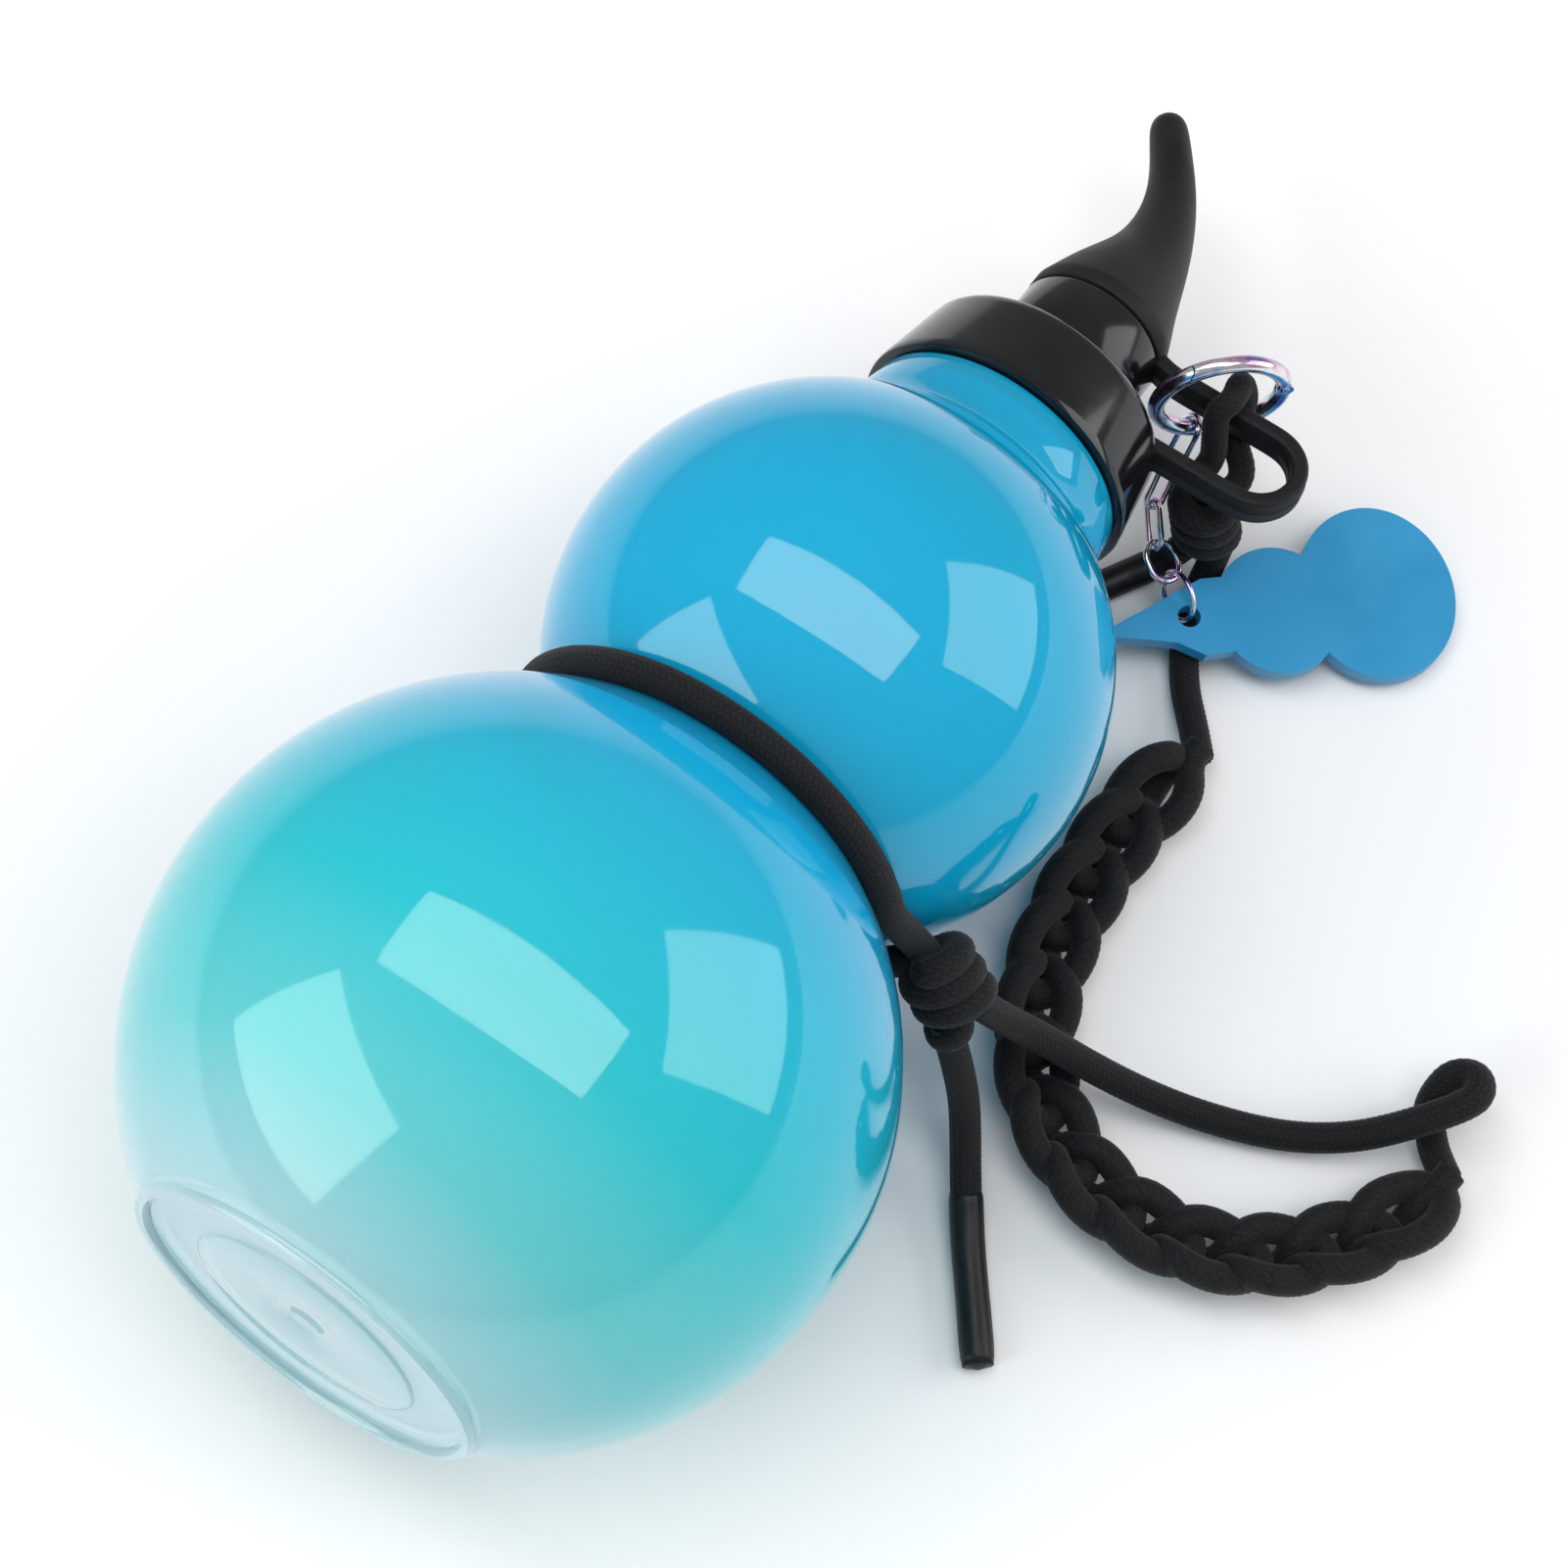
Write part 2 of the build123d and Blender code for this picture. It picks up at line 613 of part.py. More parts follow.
save(cord_tube(strap_braid_route, braid_d, "strap_braid"), "strap_braid")
save(cord_tube(upper_cord_route, cord_d, "upper_cord"), "upper_cord")
save(cord_tube(top_tail_route, cord_d, "top_tail"), "top_tail")
save(cord_tube(top_sleeve_route, cord_d + 2 * sleeve_wall, "top_sleeve"), "top_sleeve")
save(snap_ring(), "snap_ring")
save(snap_gate(), "snap_gate")
save(gate_rivet(), "gate_rivet")
hang = Vector(*chain_joints[0]) + Vector(bulb_x, bulb_y, 0) - ring_centre
across = ring_normal.cross(hang)
for i, width in enumerate(link_widths):
    last = i == len(link_widths) - 1
    before = past_ring if i == 0 else past_joint
    after = 0 if last else past_joint
    link, across = chain_link(chain_joints[i], chain_joints[i + 1], across, width, before, after)
    save(link, "charm_ring" if last else "chain_link_" + str(i + 1))
save(charm(), "charm")
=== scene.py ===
import math

import bmesh
import bpy
import numpy as np
from mathutils import Matrix, Vector


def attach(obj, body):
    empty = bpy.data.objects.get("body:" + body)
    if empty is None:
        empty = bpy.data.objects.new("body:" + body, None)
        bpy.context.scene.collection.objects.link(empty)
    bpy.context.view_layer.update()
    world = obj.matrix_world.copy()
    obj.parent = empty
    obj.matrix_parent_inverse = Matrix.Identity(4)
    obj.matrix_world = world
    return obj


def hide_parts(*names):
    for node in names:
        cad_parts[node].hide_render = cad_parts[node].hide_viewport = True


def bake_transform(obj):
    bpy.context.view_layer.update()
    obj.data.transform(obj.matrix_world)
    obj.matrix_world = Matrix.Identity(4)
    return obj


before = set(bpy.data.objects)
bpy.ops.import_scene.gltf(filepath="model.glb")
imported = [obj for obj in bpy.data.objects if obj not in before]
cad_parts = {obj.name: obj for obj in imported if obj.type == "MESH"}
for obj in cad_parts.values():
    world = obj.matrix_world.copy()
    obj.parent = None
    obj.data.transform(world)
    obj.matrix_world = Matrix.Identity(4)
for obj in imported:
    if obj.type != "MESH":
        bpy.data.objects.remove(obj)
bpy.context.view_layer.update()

MM = 0.001

# Where the bottle lies: the floor point under its large bulb, and its own directions
BOTTLE_X, BOTTLE_Y = -70.81, 8.2
LARGE_R, SMALL_R, BULB_SPACING, WALL = 52.0, 41.0, 76.1, 1.8
TILT = math.asin((LARGE_R - SMALL_R) / BULB_SPACING)
ALONG = Vector((math.cos(TILT), 0, -math.sin(TILT)))
DOWN = Vector((-math.sin(TILT), 0, -math.cos(TILT)))
SIDE = Vector((0, 1, 0))


def floor_point(x, y, z):
    """A point given in millimetres from the floor under the large bulb, in the row frame."""
    return Vector(((BOTTLE_X + x) * MM, (BOTTLE_Y + y) * MM, z * MM))


def bottle_point(x, y, z):
    """A point given in the bottle's own millimetres: down, across, along its axis."""
    middle = floor_point(0, 0, LARGE_R)
    return middle + (DOWN * x + SIDE * y + ALONG * z) * MM


def columns(x, y, z):
    """The turn that takes the three axes to three unit directions."""
    return Matrix([(x[k], y[k], z[k]) for k in range(3)]).to_4x4()


def in_scene(name, data):
    """A new object in the scene, at the origin."""
    made = bpy.data.objects.new(name, data)
    bpy.context.scene.collection.objects.link(made)
    return made


def evaluated_mesh(holder):
    """An object's finished shape as a plain mesh of its own; the object itself goes."""
    graph = bpy.context.evaluated_depsgraph_get()
    mesh = bpy.data.meshes.new_from_object(holder.evaluated_get(graph))
    bpy.data.objects.remove(holder)
    return mesh


LYING = Matrix.Translation(floor_point(0, 0, LARGE_R)) @ columns(DOWN, SIDE, ALONG)


# -------------------------------- camera
def make_camera():
    """The camera of the photograph, found from the bottle's own outline."""
    right = Vector((0.5617, -0.8273, 0)).normalized()
    up = Vector((0.7687, 0.522, 0.3696)).normalized()
    back = right.cross(up).normalized()
    up = back.cross(right)
    data = bpy.data.cameras.new("camera")
    data.lens = 79.27
    data.sensor_width = 36
    data.clip_start, data.clip_end = 0.02, 20
    camera = in_scene("camera", data)
    camera.matrix_world = Matrix.Translation(floor_point(-91.6, -105.8, 491.8)) @ columns(right, up, back)
    bpy.context.scene.camera = camera


make_camera()

# -------------------------------- cord routes
# The same points as the solids' routes, in millimetres from the floor under the large bulb
WAIST_TAIL_ROUTE = [(42.9, -41.6, 32.2), (41.4, -44.8, 24.4), (39.6, -47.8, 16.6), (37.0, -50.1, 10.9),
                    (33.8, -52.4, 7.0), (30.2, -55.0, 4.6), (24.8, -58.9, 2.85), (18.9, -63.6, 2.65),
                    (10.9, -69.7, 2.7)]
STRAP_ROUTE = [(47.2, -43.9, 33.6), (49.5, -47.0, 26.0), (52.4, -51.6, 18.8), (54.6, -58.8, 12.2),
               (57.2, -67.4, 6.4), (60.2, -77.0, 3.2), (64.1, -88.0, 3.0), (68.8, -96.4, 5.0),
               (74.2, -102.6, 8.5), (80.9, -108.5, 12.1), (83.5, -108.7, 12.0), (85.3, -107.3, 10.8),
               (85.3, -105.2, 9.3), (83.5, -103.6, 8.3), (79.5, -103.4, 5.0), (76.9, -105.8, 2.9),
               (74.2, -108.4, 2.7), (71.8, -111.2, 4.4)]
BRAID_ROUTE = [(72.4, -111.4, 5.8), (64.9, -110.6, 5.8), (55.9, -106.0, 5.8), (47.6, -98.6, 5.8),
               (41.6, -88.6, 5.8), (39.6, -77.4, 5.8), (41.4, -66.2, 5.8), (47.0, -56.2, 5.8),
               (55.8, -49.0, 5.8), (66.6, -44.9, 5.8), (78.4, -43.1, 5.8), (90.4, -42.9, 5.8),
               (101.0, -44.4, 5.8), (108.8, -46.2, 5.8)]
UPPER_ROUTE = [(107.4, -46.9, 5.6), (112.0, -43.4, 3.6), (117.0, -38.8, 2.5), (122.6, -35.2, 2.4),
               (128.56, -32.6, 2.4), (133.56, -31.5, 2.8), (136.46, -31.4, 6.22), (137.76, -31.4, 10.32)]
TOP_TAIL_ROUTE = [(134.76, -27.1, 10.72), (135.36, -26.6, 7.62), (134.86, -25.4, 4.5), (132.16, -23.4, 2.9),
                  (130.16, -22.2, 2.7), (124.16, -18.6, 2.65), (117.16, -14.8, 2.7), (110.56, -11.6, 2.75)]
HITCH_ROUTE = [(138.56, -25.2, 25.22), (141.76, -25.6, 26.22), (142.06, -25.0, 30.82), (144.26, -23.4, 34.82),
               (146.66, -24.8, 35.82), (150.96, -23.7, 34.72), (151.36, -25.1, 29.72), (149.36, -25.4, 25.72),
               (146.36, -26.6, 25.42), (142.96, -30.8, 24.22), (138.76, -30.0, 23.42)]

CORD_R = 2.3


def route_line(name, route):
    """Points read from the route's own smooth NURBS line, in metres."""
    curve = bpy.data.curves.new(name + "_line", "CURVE")
    curve.dimensions = "3D"
    spline = curve.splines.new("NURBS")
    spline.points.add(len(route) - 1)
    for point, place in zip(spline.points, route):
        point.co = (*floor_point(*place), 1)
    spline.order_u = 3
    spline.use_endpoint_u = True
    spline.resolution_u = 32
    mesh = evaluated_mesh(in_scene(name + "_line", curve))
    line = np.array([v.co for v in mesh.vertices], float)
    bpy.data.meshes.remove(mesh)
    return line


def line_length(line):
    """A line's whole length, in the line's own unit."""
    return float(np.linalg.norm(np.diff(line, axis=0), axis=1).sum())


def stations(line):
    """How far along a line each of its points lies."""
    return np.concatenate([[0], np.cumsum(np.linalg.norm(np.diff(line, axis=0), axis=1))])


def even(line, step):
    """The same line with points a step apart, in metres."""
    at = stations(line)
    count = max(int(math.ceil(at[-1] / step)), 4)
    wanted = np.linspace(0, at[-1], count + 1)
    return np.stack([np.interp(wanted, at, line[:, k]) for k in range(3)], axis=1)


def smooth_line(points, per_span=12):
    """A rounded line near a row of points: a uniform cubic spline that keeps both ends."""
    p = np.array(points, float)
    p = np.concatenate([[2 * p[0] - p[1]], p, [2 * p[-1] - p[-2]]])
    t = np.linspace(0, 1, per_span, endpoint=False)[:, None]
    b0, b1 = (1 - t) ** 3 / 6, (3 * t ** 3 - 6 * t ** 2 + 4) / 6
    b2, b3 = (-3 * t ** 3 + 3 * t ** 2 + 3 * t + 1) / 6, t ** 3 / 6
    spans = [b0 * p[i] + b1 * p[i + 1] + b2 * p[i + 2] + b3 * p[i + 3] for i in range(len(p) - 3)]
    return np.concatenate(spans + [[p[-2]]])


def frames_along(line):
    """Unit tangents and two unit cross directions that don't twist, along a line."""
    tangents = np.gradient(line, axis=0)
    tangents /= np.linalg.norm(tangents, axis=1)[:, None]
    side = np.array((0, 0, 1), float)
    if abs(side @ tangents[0]) > 0.9:
        side = np.array((0, 1, 0), float)
    sides = np.empty_like(line)
    for i, tangent in enumerate(tangents):
        side = side - tangent * (side @ tangent)
        side /= np.linalg.norm(side)
        sides[i] = side
    return tangents, sides, np.cross(tangents, sides)


# -------------------------------- meshes
def link_piece(name, mesh, material, body, smooth=True):
    """An object at the origin with its finish, riding on a body."""
    mesh.materials.append(material)
    if smooth:
        mesh.polygons.foreach_set("use_smooth", np.ones(len(mesh.polygons), bool))
    piece = in_scene(name, mesh)
    if body:
        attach(piece, body)
    return piece


def ring_stack(name, rings, uv_size, values=None):
    """A closed tube mesh from rings of points, with UVs in millimetres round and along."""
    rings = np.asarray(rings, float)
    count, around = rings.shape[:2]
    i, k = np.meshgrid(np.arange(count - 1), np.arange(around), indexing="ij")
    nxt = (k + 1) % around
    quads = np.stack([i * around + k, i * around + nxt, (i + 1) * around + nxt, (i + 1) * around + k], axis=2)
    faces = quads.reshape(-1, 4).tolist()
    verts = np.concatenate([rings.reshape(-1, 3), [rings[0].mean(0), rings[-1].mean(0)]])
    start, end, last = count * around, count * around + 1, (count - 1) * around
    faces += [(start, (j + 1) % around, j) for j in range(around)]
    faces += [(end, last + j, last + (j + 1) % around) for j in range(around)]
    mesh = bpy.data.meshes.new(name)
    mesh.from_pydata(verts.tolist(), [], faces)
    width, lengths = uv_size
    layer = mesh.uv_layers.new(name="UVMap")
    u0, u1 = k * width / around, (k + 1) * width / around
    v = np.asarray(lengths, float)
    v0, v1 = np.broadcast_to(v[:-1, None], k.shape), np.broadcast_to(v[1:, None], k.shape)
    uv = np.stack([np.stack([u0, v0], 2), np.stack([u1, v0], 2), np.stack([u1, v1], 2), np.stack([u0, v1], 2)], 2)
    uv = np.concatenate([uv.reshape(-1, 2), np.zeros((6 * around, 2))])
    layer.data.foreach_set("uv", uv.astype(np.float32).ravel())
    # point values, for the cords their weave height, which the cord finish turns into painted shade between the
    # strands
    if values is not None:
        values = np.concatenate([np.asarray(values, float).ravel(), [0.5, 0.5]])
        mesh.attributes.new("weave_painted_shade", "FLOAT", "POINT").data.foreach_set("value", values.astype(np.float32))
    mesh.validate()
    return mesh


STRANDS_ROUND = 16
STRAND_PITCH = 15.0
WEAVE_DEPTH = 0.2
WEAVE_REST = 0.75  # the weave height that lies on the cord's own radius


def weave_height(u, v):
    """How proud the braided sleeve stands, from 0 to 1: two families of strands, each over two and under two."""
    a = STRANDS_ROUND * (u + v / STRAND_PITCH)
    b = STRANDS_ROUND * (u - v / STRAND_PITCH)
    i, j = np.floor(a), np.floor(b)
    first = np.mod(i + j, 4) < 2
    across = np.where(first, a - i, b - j)
    float_a = np.mod(b + i, 4) / 2
    float_b = np.mod(a + j - 2, 4) / 2
    through = np.clip(np.where(first, float_a, float_b), 0, 1)
    return np.sqrt(np.sin(np.pi * across)) * (0.3 + 0.7 * np.sqrt(np.sin(np.pi * through)))


def rings_round(line, reach, turn):
    """Rings of points round a line: their distances from it in metres, at shares of a turn."""
    _, sides, ups = frames_along(line)
    angle = 2 * np.pi * turn
    cross = np.cos(angle)[None, :, None] * sides[:, None] + np.sin(angle)[None, :, None] * ups[:, None]
    return line[:, None] + reach[:, :, None] * cross


def cord_mesh(name, line, radius=CORD_R, step=0.3, around=64):
    """A braided cord along a line in metres."""
    line = even(line, step * MM)
    along = stations(line) / MM
    turn = np.arange(around) / around
    height = weave_height(turn[None, :], along[:, None])
    reach = (radius + WEAVE_DEPTH * (height - WEAVE_REST)) * MM
    # the weave height shapes the relief and is also kept on the points for the finish's painted shade
    return ring_stack(name, rings_round(line, reach, turn), (2 * math.pi * radius, along), values=height)


def plain_tube(name, line, radii, around=32, step=0.3):
    """A smooth round tube along a line in metres, its radii given at stations, all in millimetres."""
    line = even(line, step * MM)
    along = stations(line) / MM
    spots, sizes = zip(*radii)
    reach = np.interp(along, spots, sizes)[:, None] * MM
    rings = rings_round(line, reach, np.arange(around) / around)
    return ring_stack(name, rings, (2 * math.pi * max(sizes), along))


def turned(name, profile, around=192):
    """A closed turned mesh from (radius, station) points in the bottle's own millimetres."""
    angle = 2 * np.pi * np.arange(around) / around
    matrix = np.array(LYING)
    verts, faces, starts = [], [], []
    on_axis = [r < 1e-6 for r, _ in profile]
    for (r, z), middle in zip(profile, on_axis):
        starts.append(len(verts))
        verts += [(0, 0, z)] if middle else [(r * math.cos(a), r * math.sin(a), z) for a in angle]
    for n in range(len(profile)):
        m = (n + 1) % len(profile)
        one, two = on_axis[n], on_axis[m]
        if one and two:
            continue
        for k in range(around):
            q = (k + 1) % around
            a, b = starts[n] + (0 if one else k), starts[n] + (0 if one else q)
            c, d = starts[m] + (0 if two else q), starts[m] + (0 if two else k)
            faces.append([a, b, c, d] if not (one or two) else ([a, c, d] if one else [a, b, c]))
    verts = np.array(verts, float) * MM
    verts = verts @ (matrix[:3, :3].T) + matrix[:3, 3]
    mesh = bpy.data.meshes.new(name)
    mesh.from_pydata(verts.tolist(), [], faces)
    mesh.validate()
    return mesh


def outward(mesh):
    """Faces turned to point out of the closed shape."""
    work = bmesh.new()
    work.from_mesh(mesh)
    bmesh.ops.recalc_face_normals(work, faces=work.faces)
    work.to_mesh(mesh)
    work.free()
    return mesh


def smooth_by_angle(mesh, degrees=32):
    """Soft shading with the edges sharper than an angle kept crisp."""
    work = bmesh.new()
    work.from_mesh(mesh)
    for edge in work.edges:
        turn = edge.calc_face_angle(0)
        edge.smooth = turn < math.radians(degrees)
    for face in work.faces:
        face.smooth = True
    work.to_mesh(mesh)
    work.free()
    return mesh


def crisp_piece(name, mesh, degrees, material, body):
    """A closed mesh with its faces turned outward and its sharp edges kept, as a piece."""
    return link_piece(name, smooth_by_angle(outward(mesh), degrees), material, body)


def merged_copy(name, node):
    """A copy of a solid's mesh with its points joined and its shading smoothed."""
    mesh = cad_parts[node].data.copy()
    mesh.name = name
    mesh.materials.clear()
    mesh.transform(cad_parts[node].matrix_world)
    work = bmesh.new()
    work.from_mesh(mesh)
    bmesh.ops.remove_doubles(work, verts=work.verts, dist=0.002 * MM)
    work.to_mesh(mesh)
    work.free()
    return smooth_by_angle(mesh)


# -------------------------------- finishes
def add(tree, kind, values=None, feeds=None, **settings):
    """A node with its settings, input values and incoming links."""
    made = tree.nodes.new(kind)
    for key, value in settings.items():
        setattr(made, key, value)
    for key, value in (values or {}).items():
        made.inputs[key].default_value = value
    for key, source in (feeds or {}).items():
        tree.links.new(source, made.inputs[key])
    return made


def ramp(tree, source, stops, mode="LINEAR"):
    """Colours at stops along a value."""
    made = add(tree, "ShaderNodeValToRGB", feeds={"Fac": source})
    made.color_ramp.interpolation = mode
    made.color_ramp.elements.remove(made.color_ramp.elements[1])
    first, *rest = stops
    made.color_ramp.elements[0].position = first[0]
    made.color_ramp.elements[0].color = (*first[1], 1)
    for spot, color in rest:
        made.color_ramp.elements.new(spot).color = (*color, 1)
    return made.outputs["Color"]


def spread(tree, source, low, high, to_low=0.0, to_high=1.0):
    """A value carried from one range to another."""
    made = add(tree, "ShaderNodeMapRange", {"From Min": low, "From Max": high, "To Min": to_low, "To Max": to_high},
               {"Value": source})
    return made.outputs["Result"]


def start_group(name, inputs, outputs):
    """An empty node group with its named inputs and outputs."""
    tree = bpy.data.node_groups.new(name, "ShaderNodeTree")
    for label, value in inputs:
        socket = tree.interface.new_socket(label, in_out="INPUT", socket_type="NodeSocketFloat")
        socket.default_value = value
    for label, kind in outputs:
        tree.interface.new_socket(label, in_out="OUTPUT", socket_type=kind)
    return tree, tree.nodes.new("NodeGroupInput"), tree.nodes.new("NodeGroupOutput")


def surface_grain_group():
    """Fine moulded grain and slow handling marks, from the piece's own place."""
    tree, given, out = start_group(
        "surface_grain", [("Grain Scale", 900.0), ("Mark Scale", 60.0)],
        [("Height", "NodeSocketFloat"), ("Marks", "NodeSocketFloat")])
    place = add(tree, "ShaderNodeTexCoord").outputs["Object"]
    fine = add(tree, "ShaderNodeTexNoise", {"Detail": 4.0, "Roughness": 0.6},
               {"Vector": place, "Scale": given.outputs["Grain Scale"]})
    slow = add(tree, "ShaderNodeTexNoise", {"Detail": 3.0, "Roughness": 0.5, "Distortion": 0.4},
               {"Vector": place, "Scale": given.outputs["Mark Scale"]})
    tree.links.new(fine.outputs["Fac"], out.inputs["Height"])
    tree.links.new(spread(tree, slow.outputs["Fac"], 0.35, 0.7), out.inputs["Marks"])
    return tree


def yarn_group():
    """Fine yarn filaments across each braided strand, from the cord's own UV in millimetres."""
    tree, given, out = start_group(
        "yarn", [("Filament Scale", 3.2)], [("Height", "NodeSocketFloat"), ("Fuzz", "NodeSocketFloat")])
    uv = add(tree, "ShaderNodeUVMap").outputs["UV"]
    parts = add(tree, "ShaderNodeSeparateXYZ", feeds={"Vector": uv})
    waves = []
    for sign in (1.0, -1.0):
        lean = add(tree, "ShaderNodeMath", {1: sign * 0.96}, {0: parts.outputs["Y"]}, operation="MULTIPLY")
        total = add(tree, "ShaderNodeMath", feeds={0: parts.outputs["X"], 1: lean.outputs[0]}, operation="ADD")
        scaled = add(tree, "ShaderNodeMath", feeds={0: total.outputs[0], 1: given.outputs["Filament Scale"]},
                     operation="MULTIPLY")
        circle = add(tree, "ShaderNodeMath", {1: 2 * math.pi}, {0: scaled.outputs[0]}, operation="MULTIPLY")
        waves.append(add(tree, "ShaderNodeMath", feeds={0: circle.outputs[0]}, operation="SINE").outputs[0])
    both = add(tree, "ShaderNodeMath", feeds={0: waves[0], 1: waves[1]}, operation="MULTIPLY")
    noise = add(tree, "ShaderNodeTexNoise", {"Scale": 2.4, "Detail": 5.0, "Roughness": 0.7}, {"Vector": uv})
    mixed = add(tree, "ShaderNodeMath", {2: 0.5}, {0: both.outputs[0], 1: noise.outputs["Fac"]},
                operation="MULTIPLY_ADD")
    tree.links.new(mixed.outputs[0], out.inputs["Height"])
    tree.links.new(spread(tree, noise.outputs["Fac"], 0.45, 0.75), out.inputs["Fuzz"])
    return tree


def heat_tint_group():
    """Bands of heat colour that wander over small metal parts."""
    tree, given, out = start_group(
        "heat_tint", [("Band Scale", 150.0)], [("Color", "NodeSocketColor"), ("Rub", "NodeSocketFloat")])
    place = add(tree, "ShaderNodeTexCoord").outputs["Object"]
    normal = add(tree, "ShaderNodeNewGeometry").outputs["Normal"]
    bent = add(tree, "ShaderNodeVectorMath", {1: (0.35, 0.2, 0.6)}, {0: normal}, operation="DOT_PRODUCT")
    noise = add(tree, "ShaderNodeTexNoise", {"Detail": 2.0, "Distortion": 0.6},
                {"Vector": place, "Scale": given.outputs["Band Scale"]})
    total = add(tree, "ShaderNodeMath", {1: 0.28}, {0: bent.outputs["Value"]}, operation="MULTIPLY")
    phase = add(tree, "ShaderNodeMath", feeds={0: total.outputs[0], 1: noise.outputs["Fac"]}, operation="ADD")
    color = ramp(tree, phase.outputs[0], [
        (0.20, (0.20, 0.16, 0.42)), (0.36, (0.32, 0.45, 0.78)), (0.47, (0.62, 0.74, 0.80)),
        (0.56, (0.86, 0.80, 0.80)), (0.66, (0.74, 0.50, 0.66)), (0.78, (0.36, 0.24, 0.55)),
        (0.92, (0.30, 0.62, 0.70))])
    tree.links.new(color, out.inputs["Color"])
    rub = add(tree, "ShaderNodeTexNoise", {"Scale": 1200.0, "Detail": 3.0}, {"Vector": place})
    tree.links.new(rub.outputs["Fac"], out.inputs["Rub"])
    return tree


GRAIN = surface_grain_group()
YARN = yarn_group()
TINT = heat_tint_group()


def start_finish(name, **constants):
    """A material with one Principled shader and its plain values."""
    finish = bpy.data.materials.new(name)
    finish.use_nodes = True
    tree = finish.node_tree
    shader = tree.nodes["Principled BSDF"]
    for key, value in constants.items():
        shader.inputs[key.replace("_", " ")].default_value = value
    return finish, tree, shader


def use_group(tree, group, **values):
    """A node group in a material, with its inputs set by name."""
    return add(tree, "ShaderNodeGroup", node_tree=group, values={k.replace("_", " "): v for k, v in values.items()})


def mixed_color(tree, factor, first, second):
    """A colour between two others."""
    made = add(tree, "ShaderNodeMix", data_type="RGBA")
    made.inputs[6].default_value = (*first, 1)
    made.inputs[7].default_value = (*second, 1)
    tree.links.new(factor, made.inputs[0])
    return made.outputs[2]


def bump(tree, shader, height, strength, distance):
    """Fine relief on a shader from a height."""
    made = add(tree, "ShaderNodeBump", {"Strength": strength, "Distance": distance}, {"Height": height})
    tree.links.new(made.outputs["Normal"], shader.inputs["Normal"])


def shell_finish():
    """Tinted clear shell: blue at the top, turquoise in the middle, clear at the foot, with a pearl film."""
    finish, tree, shader = start_finish(
        "pearl_shell", Roughness=0.04, IOR=1.45, Transmission_Weight=0.5, Coat_Weight=0.4, Coat_Roughness=0.03,
        Thin_Film_Thickness=420.0, Thin_Film_IOR=1.4)
    place = add(tree, "ShaderNodeTexCoord").outputs["Object"]
    soft = add(tree, "ShaderNodeTexNoise", {"Scale": 14.0, "Detail": 1.0}, {"Vector": place})
    along = add(tree, "ShaderNodeVectorMath", {1: tuple(ALONG)}, {0: place}, operation="DOT_PRODUCT")
    base = floor_point(0, 0, LARGE_R).dot(ALONG)
    station = add(tree, "ShaderNodeMath", {1: 0.012}, {0: soft.outputs["Fac"]}, operation="MULTIPLY")
    total = add(tree, "ShaderNodeMath", feeds={0: along.outputs["Value"], 1: station.outputs[0]}, operation="ADD")
    share = spread(tree, total.outputs[0], base - 46 * MM, base + 132 * MM)
    color = ramp(tree, share, [
        (0.00, (0.82, 0.90, 0.92)), (0.05, (0.55, 0.86, 0.90)), (0.12, (0.20, 0.82, 0.84)),
        (0.24, (0.03, 0.76, 0.82)), (0.38, (0.02, 0.68, 0.88)), (0.50, (0.01, 0.57, 0.92)),
        (0.60, (0.005, 0.60, 0.88)), (0.80, (0.005, 0.58, 0.87)), (1.00, (0.005, 0.54, 0.86))])
    tree.links.new(color, shader.inputs["Base Color"])
    grain = use_group(tree, GRAIN, Grain_Scale=70.0, Mark_Scale=35.0)
    tree.links.new(spread(tree, grain.outputs["Marks"], 0, 1, 0.03, 0.09), shader.inputs["Roughness"])
    bump(tree, shader, grain.outputs["Height"], 0.05, 0.0006)
    return finish


def grain_finish(name, scales, dark, light, rough, relief=None, **constants):
    """A moulded finish: slow marks between two colours and two roughnesses, and a fine grain in relief."""
    finish, tree, shader = start_finish(name, **constants)
    grain = use_group(tree, GRAIN, Grain_Scale=scales[0], Mark_Scale=scales[1])
    tree.links.new(mixed_color(tree, grain.outputs["Marks"], dark, light), shader.inputs["Base Color"])
    tree.links.new(spread(tree, grain.outputs["Marks"], 0, 1, *rough), shader.inputs["Roughness"])
    if relief:
        strength, distance = relief
        bump(tree, shader, grain.outputs["Height"], strength, distance)
    return finish


def cord_finish():
    """Black braided sleeve: painted shade from the mesh's own weave height, darker in the hollows between the
    strands and lighter on their crowns, with random yarn fuzz in the tone and the yarn in relief.
    """
    finish, tree, shader = start_finish(
        "braided_cord", Sheen_Weight=0.08, Sheen_Roughness=0.4, Specular_IOR_Level=0.22)
    # painted shade: the weave height from the mesh darkens the hollows between strands and leaves the strand crowns
    # lighter
    weave_painted_shade = add(tree, "ShaderNodeAttribute", attribute_name="weave_painted_shade").outputs["Fac"]
    yarn = use_group(tree, YARN, Filament_Scale=3.4)
    pile = add(tree, "ShaderNodeMath", {1: 0.35}, {0: yarn.outputs["Fuzz"]}, operation="MULTIPLY")
    light = add(tree, "ShaderNodeMath", feeds={0: weave_painted_shade, 1: pile.outputs[0]}, operation="ADD")
    # this lightness is painted shade from the weave height plus the yarn's random fuzz tone
    color = ramp(tree, light.outputs[0], [(0.1, (0.0015, 0.0015, 0.0015)), (0.6, (0.005, 0.005, 0.006)),
                                          (1.0, (0.014, 0.013, 0.014))])
    tree.links.new(color, shader.inputs["Base Color"])
    tree.links.new(spread(tree, yarn.outputs["Fuzz"], 0, 1, 0.62, 0.85), shader.inputs["Roughness"])
    bump(tree, shader, yarn.outputs["Height"], 0.5, 0.00012)
    return finish


